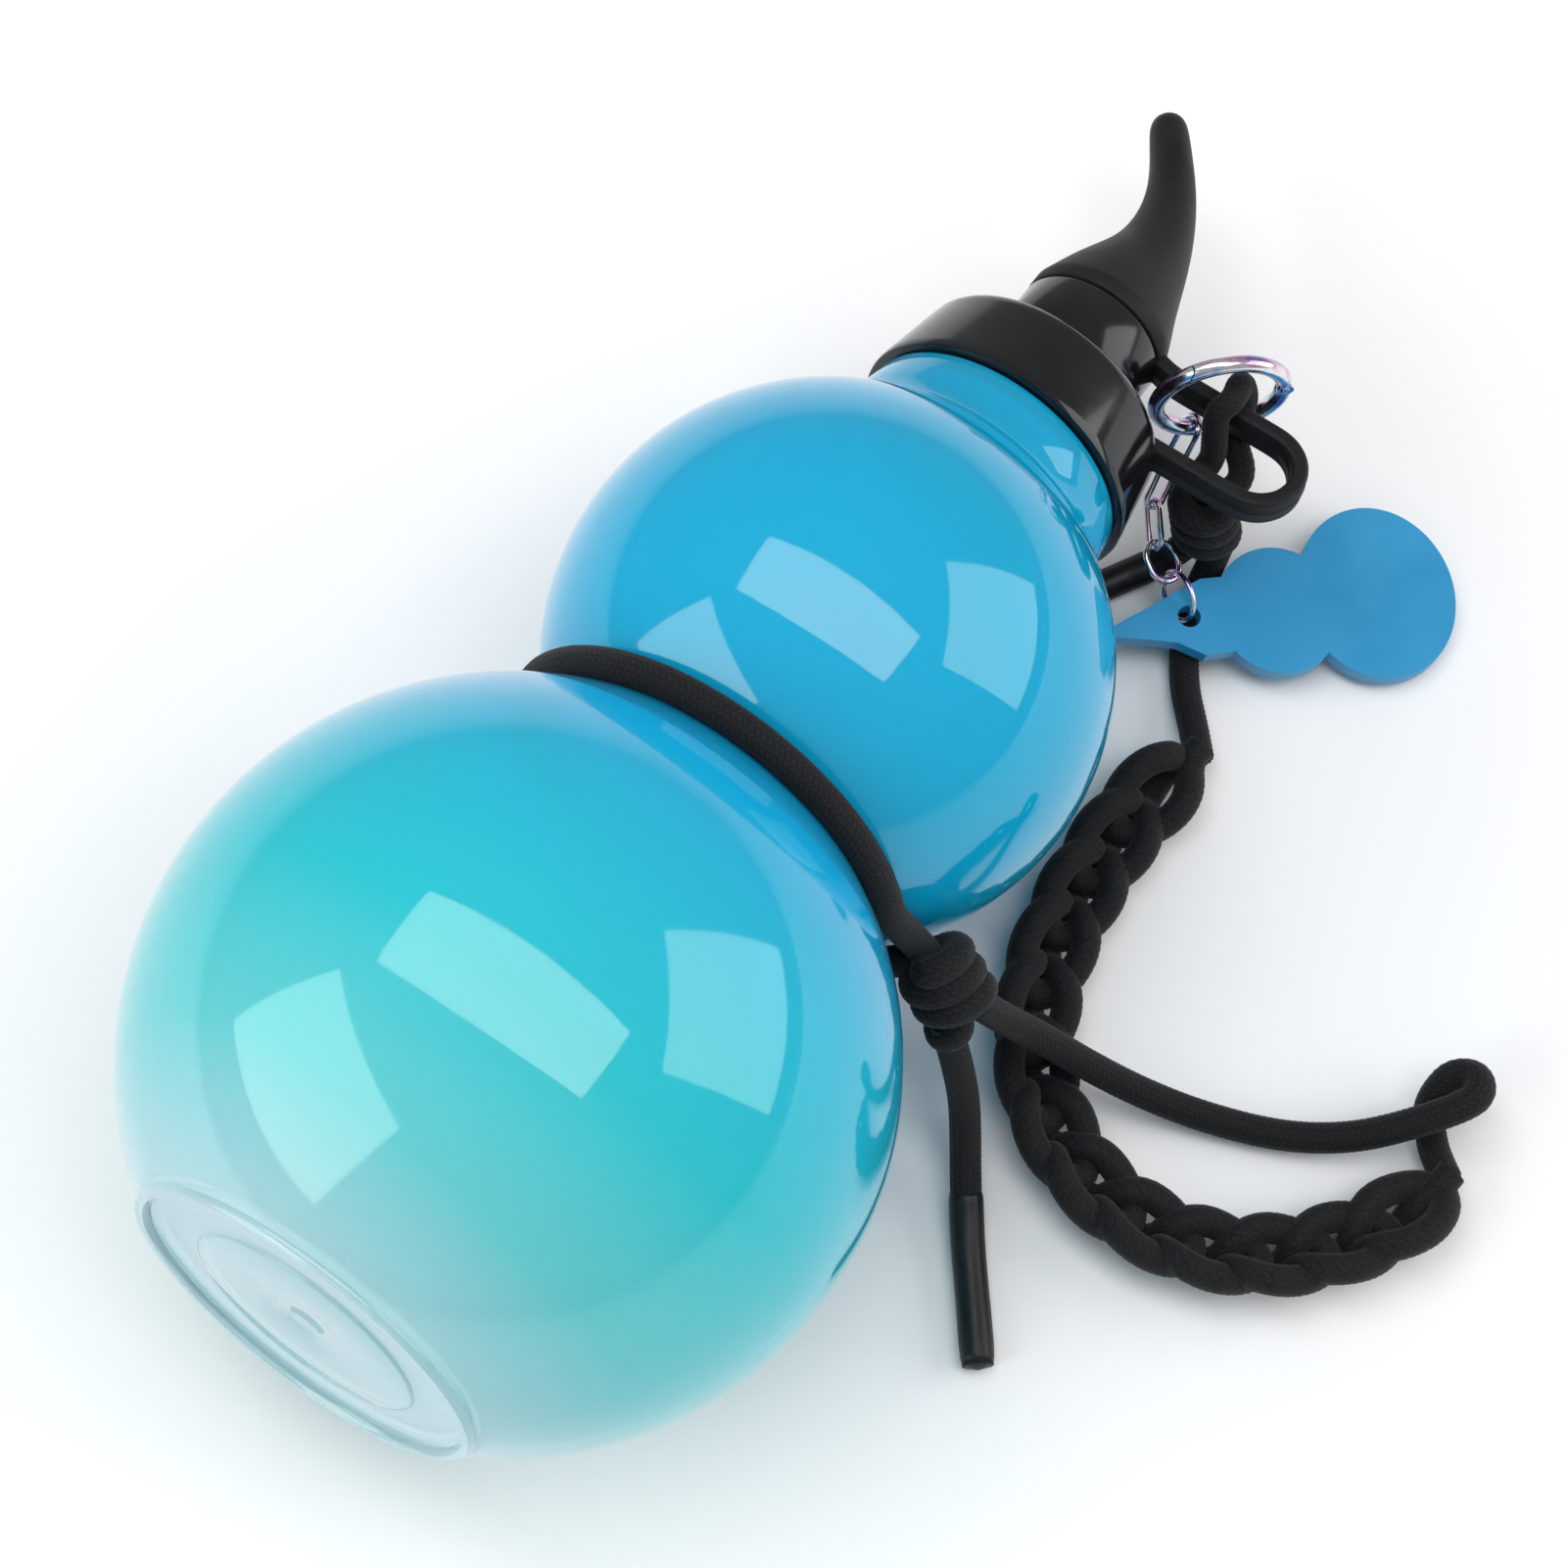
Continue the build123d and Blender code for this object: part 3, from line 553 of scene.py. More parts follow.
def tinted_metal_finish():
    """Polished wire with wandering heat colours."""
    finish, tree, shader = start_finish("heat_tinted_metal", Metallic=1.0)
    tint = use_group(tree, TINT, Band_Scale=170.0)
    tree.links.new(tint.outputs["Color"], shader.inputs["Base Color"])
    tree.links.new(spread(tree, tint.outputs["Rub"], 0.3, 0.7, 0.12, 0.24), shader.inputs["Roughness"])
    return finish


def pin_finish():
    """The pin's duller metal."""
    finish, tree, shader = start_finish("pin_metal", Metallic=1.0)
    tint = use_group(tree, TINT, Band_Scale=60.0)
    tree.links.new(mixed_color(tree, tint.outputs["Rub"], (0.34, 0.30, 0.42), (0.60, 0.58, 0.64)),
                   shader.inputs["Base Color"])
    tree.links.new(spread(tree, tint.outputs["Rub"], 0.3, 0.7, 0.2, 0.36), shader.inputs["Roughness"])
    return finish


SOFT_BLACKS = (0.004, 0.004, 0.005), (0.009, 0.009, 0.010)

PEARL_SHELL = shell_finish()
GLOSS_BLACK = grain_finish(
    "gloss_black", (160.0, 90.0), (0.003, 0.003, 0.004), (0.006, 0.006, 0.007), (0.10, 0.2), (0.08, 0.0003),
    Coat_Weight=0.25, Coat_Roughness=0.05, Specular_IOR_Level=0.35)
SILICONE = grain_finish(
    "matte_silicone", (2200.0, 110.0), *SOFT_BLACKS, (0.5, 0.66), (0.25, 0.0001),
    Sheen_Weight=0.04, Sheen_Roughness=0.5, Specular_IOR_Level=0.25)
CORD = cord_finish()
SLEEVE = grain_finish(
    "shrink_sleeve", (1500.0, 160.0), *SOFT_BLACKS, (0.36, 0.5), (0.2, 0.0001),
    Coat_Weight=0.05, Coat_Roughness=0.3, Specular_IOR_Level=0.3)
TINTED_METAL = tinted_metal_finish()
PIN_METAL = pin_finish()
CHARM_BLUE = grain_finish(
    "blue_charm", (420.0, 60.0), (0.010, 0.250, 0.500), (0.016, 0.280, 0.545), (0.38, 0.5), (0.12, 0.0002),
    Coat_Weight=0.15, Coat_Roughness=0.25)
SEAL = grain_finish("seal", (1800.0, 200.0), (0.50, 0.51, 0.52), (0.60, 0.61, 0.62), (0.5, 0.65))


# -------------------------------- cords
def to_metres(points):
    """Points in millimetres from the floor under the large bulb, in the row frame."""
    return np.array([tuple(floor_point(*p)) for p in points])


def cord_piece(name, line, body, **sizes):
    """A piece of braided cord along a line in metres."""
    return link_piece(name, cord_mesh(name, line, **sizes), CORD, body)


def waist_ring():
    """The cord in the groove between the bulbs, both ends drawn into the knot."""
    off = CORD_R + 0.1
    z = ((LARGE_R + off) ** 2 - (SMALL_R + off) ** 2 + BULB_SPACING ** 2) / (2 * BULB_SPACING)
    r = math.sqrt((LARGE_R + off) ** 2 - z ** 2)
    knot = math.radians(-82)
    points = [floor_point(46.6, -38.6, 36.8), floor_point(47.4, -35.6, 39.6)]
    for step in range(45):
        angle = knot + math.radians(18 + 324 * step / 44)
        points.append(bottle_point(r * math.cos(angle), r * math.sin(angle), z))
    points += [floor_point(48.2, -34.6, 38.4), floor_point(47.0, -37.6, 36.2)]
    piece = cord_piece("waist_cord_ring", smooth_line(points), "bottle")
    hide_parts("waist_cord")


def helix(start, end, radius, turns, first_angle, lead_in, lead_out):
    """Wraps of cord round the line from start to end, with the cord led in and out."""
    a, b = np.array(start, float), np.array(end, float)
    axis = (b - a) / np.linalg.norm(b - a)
    side = np.cross(axis, (0, 0, 1.0))
    side /= np.linalg.norm(side)
    up = np.cross(side, axis)
    steps = int(turns * 16)
    wraps = []
    for n in range(steps + 1):
        angle = math.radians(first_angle) + 2 * math.pi * turns * n / steps
        wraps.append(tuple(a + (b - a) * n / steps + radius * (math.cos(angle) * side + math.sin(angle) * up)))
    return list(lead_in) + wraps + list(lead_out)


def waist_knot():
    """Three close wraps and a small lower turn that the tail leaves by."""
    points = helix((47.3, -36.0, 39.4), (45.4, -42.6, 33.4), 4.0, 2.7, 40,
                   [(46.8, -38.4, 37.6), (47.6, -36.4, 40.0)],
                   [(44.0, -43.6, 33.6), (42.0, -43.9, 31.2), (41.4, -42.0, 28.8), (43.4, -40.4, 28.4),
                    (45.0, -41.2, 30.4), (44.6, -42.8, 31.6)])
    piece = cord_piece("waist_knot_wraps", smooth_line(to_metres(points)), "bottle", step=0.28)
    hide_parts("waist_knot")


def top_knot():
    """Wraps that close the hitch beside the carry loop."""
    points = helix((136.4, -27.4, 23.4), (136.2, -29.6, 13.6), 3.2, 3.1, 200,
                   [(137.2, -27.0, 18.0), (137.0, -27.2, 22.4)], [(136.4, -29.2, 14.4), (136.6, -28.6, 17.6)])
    piece = cord_piece("top_knot_wraps", smooth_line(to_metres(points)), "strap")
    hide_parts("top_knot")


DRAWN_CORD_R = 2.0


def loop_hitch():
    """The drawn turn of cord round the carry loop's upper arm, both legs led into the knot."""
    points = [(136.9, -26.8, 22.6)] + HITCH_ROUTE + [(136.9, -29.0, 21.8)]
    piece = cord_piece("loop_hitch_cord", route_line("hitch", points), "strap", radius=DRAWN_CORD_R)
    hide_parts("loop_hitch")


# One stitch of the chained cord, as (share of the stitch, across, up) in cord radii
STITCH = [(0.00, -0.70, -0.10), (0.18, -1.30, 0.70), (0.48, -1.92, 0.85), (0.85, -2.02, 0.50), (1.18, -1.62, 0.10),
          (1.42, -0.85, -0.25), (1.50, 0.00, -0.40), (1.42, 0.85, -0.25), (1.18, 1.62, 0.10), (0.85, 2.02, 0.50),
          (0.48, 1.92, 0.85), (0.18, 1.30, 0.70), (0.00, 0.70, -0.10), (0.02, 0.40, -1.25), (0.30, 0.12, -1.62),
          (0.70, -0.25, -1.62), (0.95, -0.55, -1.10)]
STITCHES = 13
LEAD_IN, LEAD_OUT = 0.2, 1.0  # the plain cord before and after the stitches, in stitches
BRAID_ROLL = 0.35


def chained_cord(line):
    """The strap's chained part: each loop is drawn up through the one before."""
    line = even(line[::-1], 0.25 * MM)
    tangents, _, _ = frames_along(line)
    up = np.array((0, 0, 1.0))
    sides = np.cross(tangents, up)
    sides /= np.linalg.norm(sides, axis=1)[:, None]
    ups = np.cross(sides, tangents)
    turn_side = sides * math.cos(BRAID_ROLL) + ups * math.sin(BRAID_ROLL)
    turn_up = ups * math.cos(BRAID_ROLL) - sides * math.sin(BRAID_ROLL)
    length = line_length(line) / MM
    pitch = length / (STITCHES + LEAD_IN + LEAD_OUT)
    stitches = [(n + share, across, rise) for n in range(STITCHES) for share, across, rise in STITCH]
    lead_in = [(-LEAD_IN, 0, 0), (0.0, 0, 0)]
    lead_out = [(STITCHES + 0.3, -0.2, -0.6), (STITCHES + 0.7, 0, -0.1), (STITCHES + LEAD_OUT, 0, 0)]
    points = []
    for share, across, rise in lead_in + [(a + LEAD_IN, b, c) for a, b, c in stitches] + lead_out:
        i = int(round(min(max((share + LEAD_IN) * pitch / length, 0), 1) * (len(line) - 1)))
        points.append(line[i] + (turn_side[i] * across + turn_up[i] * (rise + 0.15)) * CORD_R * MM)
    return smooth_line(points, 8)


WAIST_SLEEVE_FROM, TOP_SLEEVE_FROM = 0.62, 0.42  # where each tail's sleeve starts, as a share of the tail


def make_cords():
    """The free cords, each along its own route."""
    tail = route_line("waist_tail", WAIST_TAIL_ROUTE)
    piece = cord_piece("waist_tail_cord", tail, "bottle")
    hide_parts("waist_tail")
    sleeve = end_sleeve("waist_tail_sleeve", tail[int(len(tail) * WAIST_SLEEVE_FROM):])
    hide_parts("tail_sleeve")

    strap = route_line("strap", STRAP_ROUTE)
    piece = cord_piece("strap_cord_strand", strap, "bottle")
    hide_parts("strap_cord", "strap_bight")

    braid = route_line("braid", BRAID_ROUTE)
    piece = cord_piece("strap_chain_braid", chained_cord(braid), "bottle", step=0.36, around=40)
    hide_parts("strap_braid")

    upper = route_line("upper", UPPER_ROUTE)
    piece = cord_piece("upper_cord_strand", upper, None)
    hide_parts("upper_cord")
    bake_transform(piece)

    tail = route_line("top_tail", TOP_TAIL_ROUTE)
    piece = cord_piece("top_tail_cord", tail, None)
    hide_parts("top_tail")
    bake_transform(piece)
    sleeve = end_sleeve("top_tail_sleeve", tail[int(len(tail) * TOP_SLEEVE_FROM):])
    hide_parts("top_sleeve")


def end_sleeve(name, line):
    """A shrunk sleeve over a cord's end, closed to a blunt tip."""
    line = even(line, 0.3 * MM)
    ends = line[-1] - line[-2]
    line = np.concatenate([line, [line[-1] + ends * k for k in (1, 2)]])
    whole = line_length(line) / MM
    radii = [(0, 2.36), (0.5, 2.5), (1.2, 2.56), (whole * 0.5, 2.5), (whole - 4.0, 2.56), (whole - 1.6, 2.46),
             (whole - 0.9, 2.1), (whole - 0.4, 1.5), (whole - 0.1, 0.8), (whole, 0.25)]
    return link_piece(name, plain_tube(name, line, radii, around=40), SLEEVE, "bottle")


waist_ring()
waist_knot()
top_knot()
loop_hitch()
make_cords()


# -------------------------------- bottle
def arc(radius, centre, start, end, count):
    """Points on a circle about a station, from one station to another."""
    first, last = math.acos((start - centre) / radius), math.acos((end - centre) / radius)
    return [(radius * math.sin(a), centre + radius * math.cos(a)) for a in np.linspace(first, last, count)]


FOOT_R, FOOT_HEIGHT, FOOT_WIDTH = 26.8, 1.2, 1.9
NECK_R, NECK_TOP_R, NECK_LENGTH = 22.2, 21.3, 9.2
MOUTH_R, MOUTH_WALL, MOUTH_LENGTH = 16.6, 2.0, 11.6
WAIST_Z = (LARGE_R ** 2 - SMALL_R ** 2 + BULB_SPACING ** 2) / (2 * BULB_SPACING)
BASE_Z = -math.sqrt(LARGE_R ** 2 - FOOT_R ** 2)
NECK_Z = BULB_SPACING + math.sqrt(SMALL_R ** 2 - NECK_R ** 2)
SHOULDER_Z = NECK_Z + NECK_LENGTH
MOUTH_Z = SHOULDER_Z + MOUTH_LENGTH


def bottle_shell():
    """The blown shell: outside from the foot to the mouth, then back down the inside."""
    foot_z, foot_in = BASE_Z - FOOT_HEIGHT, FOOT_R - FOOT_WIDTH
    mark_z, disc_z = BASE_Z - 0.25, BASE_Z - 0.5
    base = [(0, mark_z), (2.0, mark_z), (2.4, mark_z - 0.1), (2.8, disc_z), (16.6, disc_z), (17.0, disc_z + 0.12),
            (17.2, BASE_Z - 0.08), (17.8, BASE_Z), (foot_in - 0.9, BASE_Z), (foot_in - 0.2, BASE_Z - 0.2),
            (foot_in, foot_z + 0.4), (foot_in + 0.4, foot_z), (FOOT_R - 0.4, foot_z), (FOOT_R, foot_z + 0.4),
            (FOOT_R + 0.05, BASE_Z - 0.3)]
    large = arc(LARGE_R, 0, BASE_Z, WAIST_Z - 0.9, 72)
    small = arc(SMALL_R, BULB_SPACING, WAIST_Z + 0.9, NECK_Z - 0.6, 60)
    groove = [(math.sqrt(LARGE_R ** 2 - WAIST_Z ** 2) + 0.45, WAIST_Z)]
    neck = [(NECK_R, NECK_Z + 0.9), (NECK_R - 0.1, NECK_Z + 3.0), (NECK_TOP_R + 0.1, SHOULDER_Z - 1.0),
            (NECK_TOP_R - 0.2, SHOULDER_Z - 0.2), (NECK_TOP_R - 0.8, SHOULDER_Z), (MOUTH_R + 0.3, SHOULDER_Z),
            (MOUTH_R, SHOULDER_Z + 0.4), (MOUTH_R, MOUTH_Z - 0.5), (MOUTH_R - 0.5, MOUTH_Z)]
    bore = MOUTH_R - MOUTH_WALL
    small_in, large_in = SMALL_R - WALL, LARGE_R - WALL
    inside_waist = (large_in ** 2 - small_in ** 2 + BULB_SPACING ** 2) / (2 * BULB_SPACING)
    inside_neck = BULB_SPACING + math.sqrt(small_in ** 2 - (NECK_R - WALL) ** 2)
    lip = [(bore + 0.5, MOUTH_Z), (bore, MOUTH_Z - 0.5), (bore, SHOULDER_Z - WALL + 0.6),
           (bore + 0.6, SHOULDER_Z - WALL), (NECK_TOP_R - WALL, SHOULDER_Z - WALL - 0.5),
           (NECK_R - WALL, inside_neck + 0.5)]
    inside_small = arc(small_in, BULB_SPACING, inside_neck, inside_waist + 0.8, 60)
    floor_in = BASE_Z + WALL
    inside_large = arc(large_in, 0, inside_waist - 0.8, floor_in, 72)
    profile = base + large + groove + small + neck + lip + inside_small + inside_large + [(0, floor_in)]
    piece = crisp_piece("bottle", turned("bottle", profile), 40, PEARL_SHELL, "bottle")
    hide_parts(*[n for n in ("bottle_shell", "big_bulb", "small_bulb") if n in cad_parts])


THREAD_TURNS, THREAD_LEAD = 1.3, 4.0


def thread_ridge(name, root_r, crest_r, start, material, body):
    """A screw thread's ridge that runs out at both ends."""
    rings = []
    count = int(THREAD_TURNS * 96)
    for n in range(count + 1):
        share = n / count
        fade = min(1, share * 14, (1 - share) * 14)
        angle = 2 * math.pi * THREAD_TURNS * share
        z = start + THREAD_LEAD * THREAD_TURNS * share
        crest = root_r + (crest_r - root_r) * fade
        for r, h in ((root_r, -0.75), (crest, -0.35), (crest, 0.35), (root_r, 0.75)):
            rings.append(tuple(bottle_point(r * math.cos(angle), r * math.sin(angle), z + h * (0.4 + 0.6 * fade))))
    rings = np.array(rings).reshape(count + 1, 4, 3)
    return crisp_piece(name, ring_stack(name, rings, (6.0, np.arange(count + 1))), 30, material, body)


LID_Z = SHOULDER_Z + 0.3
LID_TOP_Z = LID_Z + 14.2
SPOUT_TOP_Z = LID_TOP_Z + 14.2
SPOUT_R, SPOUT_BORE_R, GROOVE_R, LID_BORE_R = 11.8, 9.5, 11.0, 18.0


def lid():
    """Screw collar and spout in one turned piece."""
    under = LID_TOP_Z - 1.6
    profile = [(LID_BORE_R, LID_Z + 0.5), (LID_BORE_R + 0.5, LID_Z), (21.9, LID_Z), (22.3, LID_Z + 0.2),
               (22.4, LID_Z + 0.7), (22.28, LID_Z + 1.6), (20.5, LID_TOP_Z - 1.9), (20.3, LID_TOP_Z - 1.0),
               (19.9, LID_TOP_Z - 0.35), (19.2, LID_TOP_Z - 0.02), (18.4, LID_TOP_Z), (11.4, LID_TOP_Z),
               (GROOVE_R, LID_TOP_Z + 0.4), (GROOVE_R, LID_TOP_Z + 2.5), (GROOVE_R + 0.2, LID_TOP_Z + 2.7),
               (SPOUT_R - 0.2, LID_TOP_Z + 2.7), (SPOUT_R, LID_TOP_Z + 3.0), (SPOUT_R, SPOUT_TOP_Z - 0.7),
               (SPOUT_R - 0.2, SPOUT_TOP_Z - 0.2), (SPOUT_R - 0.7, SPOUT_TOP_Z), (SPOUT_BORE_R + 0.4, SPOUT_TOP_Z),
               (SPOUT_BORE_R, SPOUT_TOP_Z - 0.4), (SPOUT_BORE_R, under + 0.4), (SPOUT_BORE_R + 0.4, under),
               (LID_BORE_R - 0.4, under), (LID_BORE_R, under - 0.4)]
    piece = crisp_piece("screw_lid", turned("screw_lid", profile), 34, GLOSS_BLACK, "lid")
    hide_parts("lid_collar")
    thread_ridge("lid_thread", LID_BORE_R + 0.1, LID_BORE_R - 1.1, SHOULDER_Z + 1.4, GLOSS_BLACK, "lid")
    thread_ridge("mouth_thread", MOUTH_R - 0.1, MOUTH_R + 1.1, SHOULDER_Z + 3.4, PEARL_SHELL, "bottle")
    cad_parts["lid_gasket"].data.materials.clear()
    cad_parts["lid_gasket"].data.materials.append(SEAL)


STEM_Z = SPOUT_TOP_Z + 0.1
STEM_R, STEM_BASE, STEM_LENGTH, STEM_BEND = 11.9, 2.4, 43.4, 11.0
STEM_SHARES = [(0.000, 0.000, 1.000), (0.120, 0.005, 0.860), (0.235, -0.010, 0.700), (0.360, -0.005, 0.545),
               (0.500, 0.085, 0.430), (0.625, 0.240, 0.355), (0.735, 0.440, 0.308), (0.840, 0.690, 0.280),
               (0.930, 0.925, 0.265), (0.968, 1.022, 0.236), (0.991, 1.080, 0.170), (1.000, 1.104, 0.080)]


def stem_stopper():
    """The bent soft stem, its flat-edged foot and the ribbed plug in the spout."""
    root = STEM_Z + STEM_BASE
    spine = [(STEM_BEND * b, root + (STEM_LENGTH - STEM_BASE) * a, STEM_R * r) for a, b, r in STEM_SHARES]
    spine = smooth_line(spine, 8)
    plug = SPOUT_BORE_R - 0.05
    rings = []
    below = [(0.3, -7.6), (plug - 1.3, -7.6), (plug - 0.6, -7.2), (plug - 0.5, -6.4), (plug, -6.1), (plug, -5.3),
             (plug - 0.5, -5.0), (plug - 0.5, -2.6), (plug, -2.3), (plug, -1.5), (plug - 0.5, -1.2),
             (plug - 0.5, -0.02), (STEM_R - 0.5, 0), (STEM_R - 0.15, 0.15), (STEM_R, 0.5), (STEM_R, STEM_BASE - 0.5)]
    angle = 2 * np.pi * np.arange(96) / 96
    for r, z in below:
        rings.append([tuple(bottle_point(r * math.cos(a), r * math.sin(a), STEM_Z + z)) for a in angle])
    headings = np.gradient(spine[:, :2], axis=0)
    for (y, z, r), (dy, dz) in zip(spine, headings):
        size = math.hypot(dy, dz)
        dy, dz = dy / size, dz / size
        rings.append([tuple(bottle_point(r * math.cos(a), y + dz * r * math.sin(a), z - dy * r * math.sin(a)))
                      for a in angle])
    mesh = ring_stack("stem_stopper_soft", rings, (60.0, np.arange(len(rings))))
    piece = crisp_piece("stem_stopper_soft", mesh, 42, SILICONE, "stopper")
    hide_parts("stem_stopper")


STRAP_HALF_WIDTH, STRAP_HALF_THICK = 2.6, 1.3
STRAP_REACH, STRAP_TURN_R = 40.6, 7.8
LOWER_ARM_Z, ARM_SPACING = 135.62, 13.0
ARMS_MEET_Y = -29.5
BAND_WIDTH = 2.6


def strap_section():
    """The carry loop's rounded section with a fine parting line on each broad side."""
    points = []
    w, t, e = STRAP_HALF_WIDTH, STRAP_HALF_THICK, 0.75
    for sx, sz, start in ((1, 1, 0), (-1, 1, 90), (-1, -1, 180), (1, -1, 270)):
        for k in range(6):
            a = math.radians(start + 18 * k)
            points.append((sx * (w - e) + e * math.cos(a), sz * (t - e) + e * math.sin(a)))
    line = []
    for n, (x, z) in enumerate(points):
        line.append((x, z))
        nxt = points[(n + 1) % len(points)]
        if abs(nxt[0] - x) > 2:
            s = 1 if z > 0 else -1
            d = 1 if nxt[0] > x else -1
            line += [(-0.16 * d, z), (-0.05 * d, z + 0.09 * s), (0.05 * d, z + 0.09 * s), (0.16 * d, z)]
    return line


def strap_along(name, path, body):
    """The strap's section carried along a path of (across, station) points in the bottle's own plane."""
    section = strap_section()
    path = smooth_line([(y, z, 0) for y, z in path], 8)
    headings = np.gradient(path, axis=0)
    rings = []
    for (y, z, _), (dy, dz, _) in zip(path, headings):
        size = math.hypot(dy, dz)
        ny, nz = -dz / size, dy / size
        rings.append([tuple(bottle_point(x, y + ny * t, z + nz * t)) for x, t in section])
    mesh = ring_stack(name, rings, (16.0, np.arange(len(rings))))
    return crisp_piece(name, mesh, 50, SILICONE, body)


def carry_loop():
    """Soft ring round the spout's foot, its lower arm and turn, and the upper arm to the stem."""
    lower, upper = LOWER_ARM_Z, LOWER_ARM_Z + ARM_SPACING
    middle, turn_y = (lower + upper) / 2, -(STRAP_REACH - STRAP_TURN_R)
    r = (upper - lower) / 2
    arc_points = [(turn_y - r * math.sin(a), middle - r * math.cos(a)) for a in np.linspace(0, math.pi, 13)]
    lower_path = [(y, lower) for y in (-12.6, -15, -19, -23, -27, -30)] + arc_points
    lower_path.append((ARMS_MEET_Y, upper))
    ring_and_arm = strap_along("carry_loop_lower", lower_path, "strap")
    upper_path = [(y, upper) for y in (ARMS_MEET_Y - 0.02, -26, -22, -19, -16.5)]
    upper_path += [(-14.2, upper + 0.15), (-12.6, upper + 0.5), (-11.4, upper + 0.9), (-10.4, upper + 1.1)]
    upper_arm = strap_along("carry_loop_upper", upper_path, None)
    inner = GROOVE_R + 0.05
    outer = inner + BAND_WIDTH
    z0, z1 = lower - STRAP_HALF_THICK, lower + STRAP_HALF_THICK
    profile = [(inner, z0 + 0.3), (inner + 0.3, z0), (outer - 0.7, z0), (outer - 0.2, z0 + 0.2), (outer, z0 + 0.7),
               (outer, lower - 0.12), (outer + 0.08, lower), (outer, lower + 0.12), (outer, z1 - 0.7),
               (outer - 0.2, z1 - 0.2), (outer - 0.7, z1), (inner + 0.3, z1), (inner, z1 - 0.3)]
    crisp_piece("carry_loop_ring", turned("carry_loop_ring", profile), 50, SILICONE, "strap")
    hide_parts("carry_loop")
    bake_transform(upper_arm)


# -------------------------------- ring, chain and charm
def wire_loop_tree():
    """A closed wire link with straight sides and round ends, from its own named sizes."""
    tree = bpy.data.node_groups.new("wire_loop", "GeometryNodeTree")
    tree.interface.new_socket("Geometry", in_out="INPUT", socket_type="NodeSocketGeometry")
    for label in ("Straight Length", "Round Radius", "Wire Radius"):
        tree.interface.new_socket(label, in_out="INPUT", socket_type="NodeSocketFloat")
    tree.interface.new_socket("Finish", in_out="INPUT", socket_type="NodeSocketMaterial")
    tree.interface.new_socket("Geometry", in_out="OUTPUT", socket_type="NodeSocketGeometry")
    given, out = tree.nodes.new("NodeGroupInput"), tree.nodes.new("NodeGroupOutput")
    height = add(tree, "ShaderNodeMath", {1: 2.0}, {0: given.outputs["Round Radius"]}, operation="MULTIPLY")
    width = add(tree, "ShaderNodeMath", feeds={0: given.outputs["Straight Length"], 1: height.outputs[0]},
                operation="ADD")
    outline = add(tree, "GeometryNodeCurvePrimitiveQuadrilateral",
                  feeds={"Width": width.outputs[0], "Height": height.outputs[0]})
    corner = add(tree, "ShaderNodeMath", {1: 0.998}, {0: given.outputs["Round Radius"]}, operation="MULTIPLY")
    round_ends = add(tree, "GeometryNodeFilletCurve", {"Count": 12},
                     {"Curve": outline.outputs["Curve"], "Radius": corner.outputs[0]}, mode="POLY")
    wire = add(tree, "GeometryNodeCurvePrimitiveCircle", {"Resolution": 24},
               {"Radius": given.outputs["Wire Radius"]})
    swept = add(tree, "GeometryNodeCurveToMesh",
                feeds={"Curve": round_ends.outputs["Curve"], "Profile Curve": wire.outputs["Curve"]})
    real = add(tree, "GeometryNodeRealizeInstances", feeds={"Geometry": swept.outputs["Mesh"]})
    dressed = add(tree, "GeometryNodeSetMaterial",
                  feeds={"Geometry": real.outputs["Geometry"], "Material": given.outputs["Finish"]})
    tree.links.new(dressed.outputs["Geometry"], out.inputs["Geometry"])
    return tree


LINK_WIRE_R = 0.5


def wire_link(tree, name, node):
    """A link of the chain, laid in its solid's own place and plane."""
    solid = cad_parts[node]
    points = np.array([solid.matrix_world @ v.co for v in solid.data.vertices], float)
    _, axes = np.linalg.eigh(np.cov((points - points.mean(0)).T))
    normal, across, heading = axes[:, 0], axes[:, 1], axes[:, 2]
    spans = [(points @ axis).max() - (points @ axis).min() for axis in (heading, across)]
    middle = sum(axis * ((points @ axis).max() + (points @ axis).min()) / 2 for axis in (normal, across, heading))
    holder = in_scene(name + "_holder", bpy.data.meshes.new(name + "_holder"))
    maker = holder.modifiers.new("wire_loop", "NODES")
    maker.node_group = tree
    sizes = {"Straight Length": max(spans[0] - spans[1], 0.00002), "Wire Radius": LINK_WIRE_R * MM,
             "Round Radius": spans[1] / 2 - LINK_WIRE_R * MM, "Finish": TINTED_METAL}
    for item in tree.interface.items_tree:
        if item.in_out == "INPUT" and item.name in sizes:
            value = sizes[item.name]
            maker[item.identifier] = value if item.name == "Finish" else float(value)
    mesh = evaluated_mesh(holder)
    mesh.name = name
    mesh.materials.clear()
    if np.linalg.det(np.stack([heading, across, normal], axis=1)) < 0:
        normal = -normal
    mesh.transform(Matrix.Translation(Vector(middle)) @ columns(heading, across, normal))
    piece = link_piece(name, outward(mesh), TINTED_METAL, node)
    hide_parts(node)


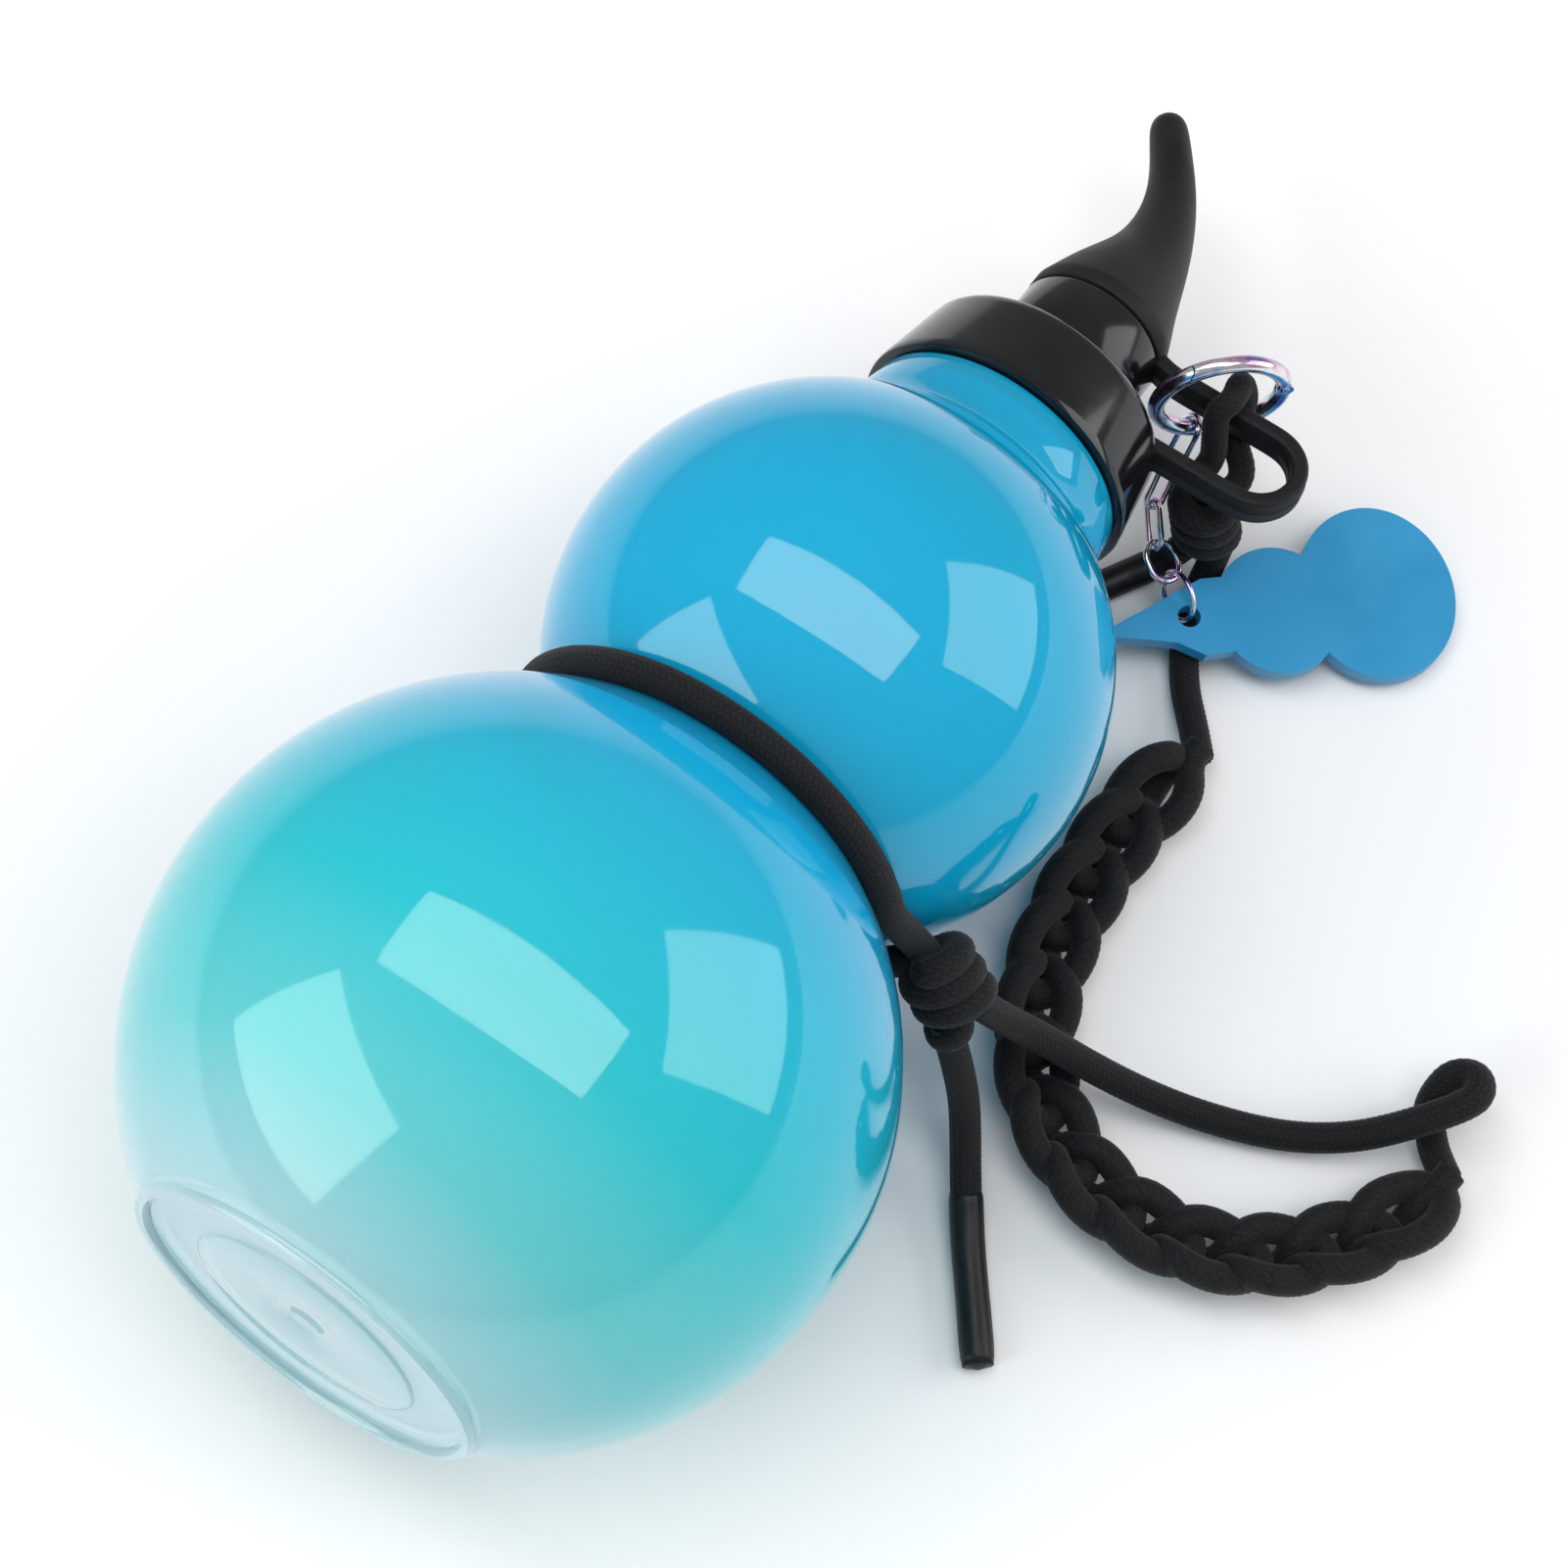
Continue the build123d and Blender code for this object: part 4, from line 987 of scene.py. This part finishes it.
def metal_parts():
    """The snap ring with its gate and pin, the chain, and the charm."""
    for name, node, finish, body, slot in (
            ("spring_ring_body", "snap_ring", TINTED_METAL, "ring", "tinted_metal"),
            ("spring_ring_gate", "snap_gate", TINTED_METAL, "gate", "tinted_metal"),
            ("gate_pin", "gate_rivet", PIN_METAL, "ring", "pin_metal")):
        piece = link_piece(name, merged_copy(name, node), finish, body, smooth=False)
        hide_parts(node)
    tree = wire_loop_tree()
    for node in ("chain_link_1", "chain_link_2", "chain_link_3", "chain_link_4", "charm_ring"):
        wire_link(tree, node + "_wire", node)
    piece = link_piece("gourd_charm", merged_copy("gourd_charm", "charm"), CHARM_BLUE, "charm",
                       smooth=False)
    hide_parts("charm")
    edge = piece.modifiers.new("soft_edge", "BEVEL")
    edge.width = 0.35 * MM
    edge.segments = 3
    edge.angle_limit = math.radians(50)


bottle_shell()
lid()
stem_stopper()
carry_loop()
metal_parts()


# -------------------------------- stage and light
def stage():
    """A plain pale floor that reads white to the camera and keeps the shadow."""
    mesh = bpy.data.meshes.new("floor")
    half = 4.0
    mesh.from_pydata([(-half, -half, 0), (half, -half, 0), (half, half, 0), (-half, half, 0)], [], [(0, 1, 2, 3)])
    ground = bpy.data.materials.new("floor")
    ground.use_nodes = True
    shader = ground.node_tree.nodes["Principled BSDF"]
    shader.inputs["Base Color"].default_value = (0.9, 0.9, 0.9, 1)
    shader.inputs["Roughness"].default_value = 0.9
    mesh.materials.append(ground)
    floor = in_scene("floor", mesh)


def lamp(name, place, target, width, height, power):
    """A rectangular lamp at a place, aimed at a target."""
    data = bpy.data.lights.new(name, "AREA")
    data.shape = "RECTANGLE"
    data.size, data.size_y = width, height
    data.energy = power
    made = in_scene(name, data)
    made.location = place
    made.rotation_mode = "QUATERNION"
    made.rotation_quaternion = (Vector(target) - Vector(place)).to_track_quat("-Z", "Y")


def lights():
    """One wide lamp over the bottle, one on each side, and a pale room that is brighter to the camera."""
    lamp("over", (0, 0, 1.0), (0, 0, 0), 0.45, 1.3, 6.0)
    lamp("left", (-0.75, 0.55, 0.6), (0, 0, 0.05), 0.9, 0.7, 5.5)
    lamp("right", (0.6, -0.8, 0.5), (0, 0, 0.05), 0.8, 0.8, 5.0)
    world = bpy.data.worlds.new("room")
    world.use_nodes = True
    tree = world.node_tree
    back = tree.nodes["Background"]
    back.inputs["Color"].default_value = (0.95, 0.97, 1.0, 1)
    path = add(tree, "ShaderNodeLightPath")
    rays = {0: path.outputs["Is Camera Ray"], 1: path.outputs["Is Transmission Ray"]}
    seen = add(tree, "ShaderNodeMath", feeds=rays, operation="MAXIMUM")
    tree.links.new(spread(tree, seen.outputs[0], 0, 1, 0.4, 1.0), back.inputs["Strength"])
    bpy.context.scene.world = world


stage()
lights()
bpy.context.scene.view_settings.view_transform = "Standard"
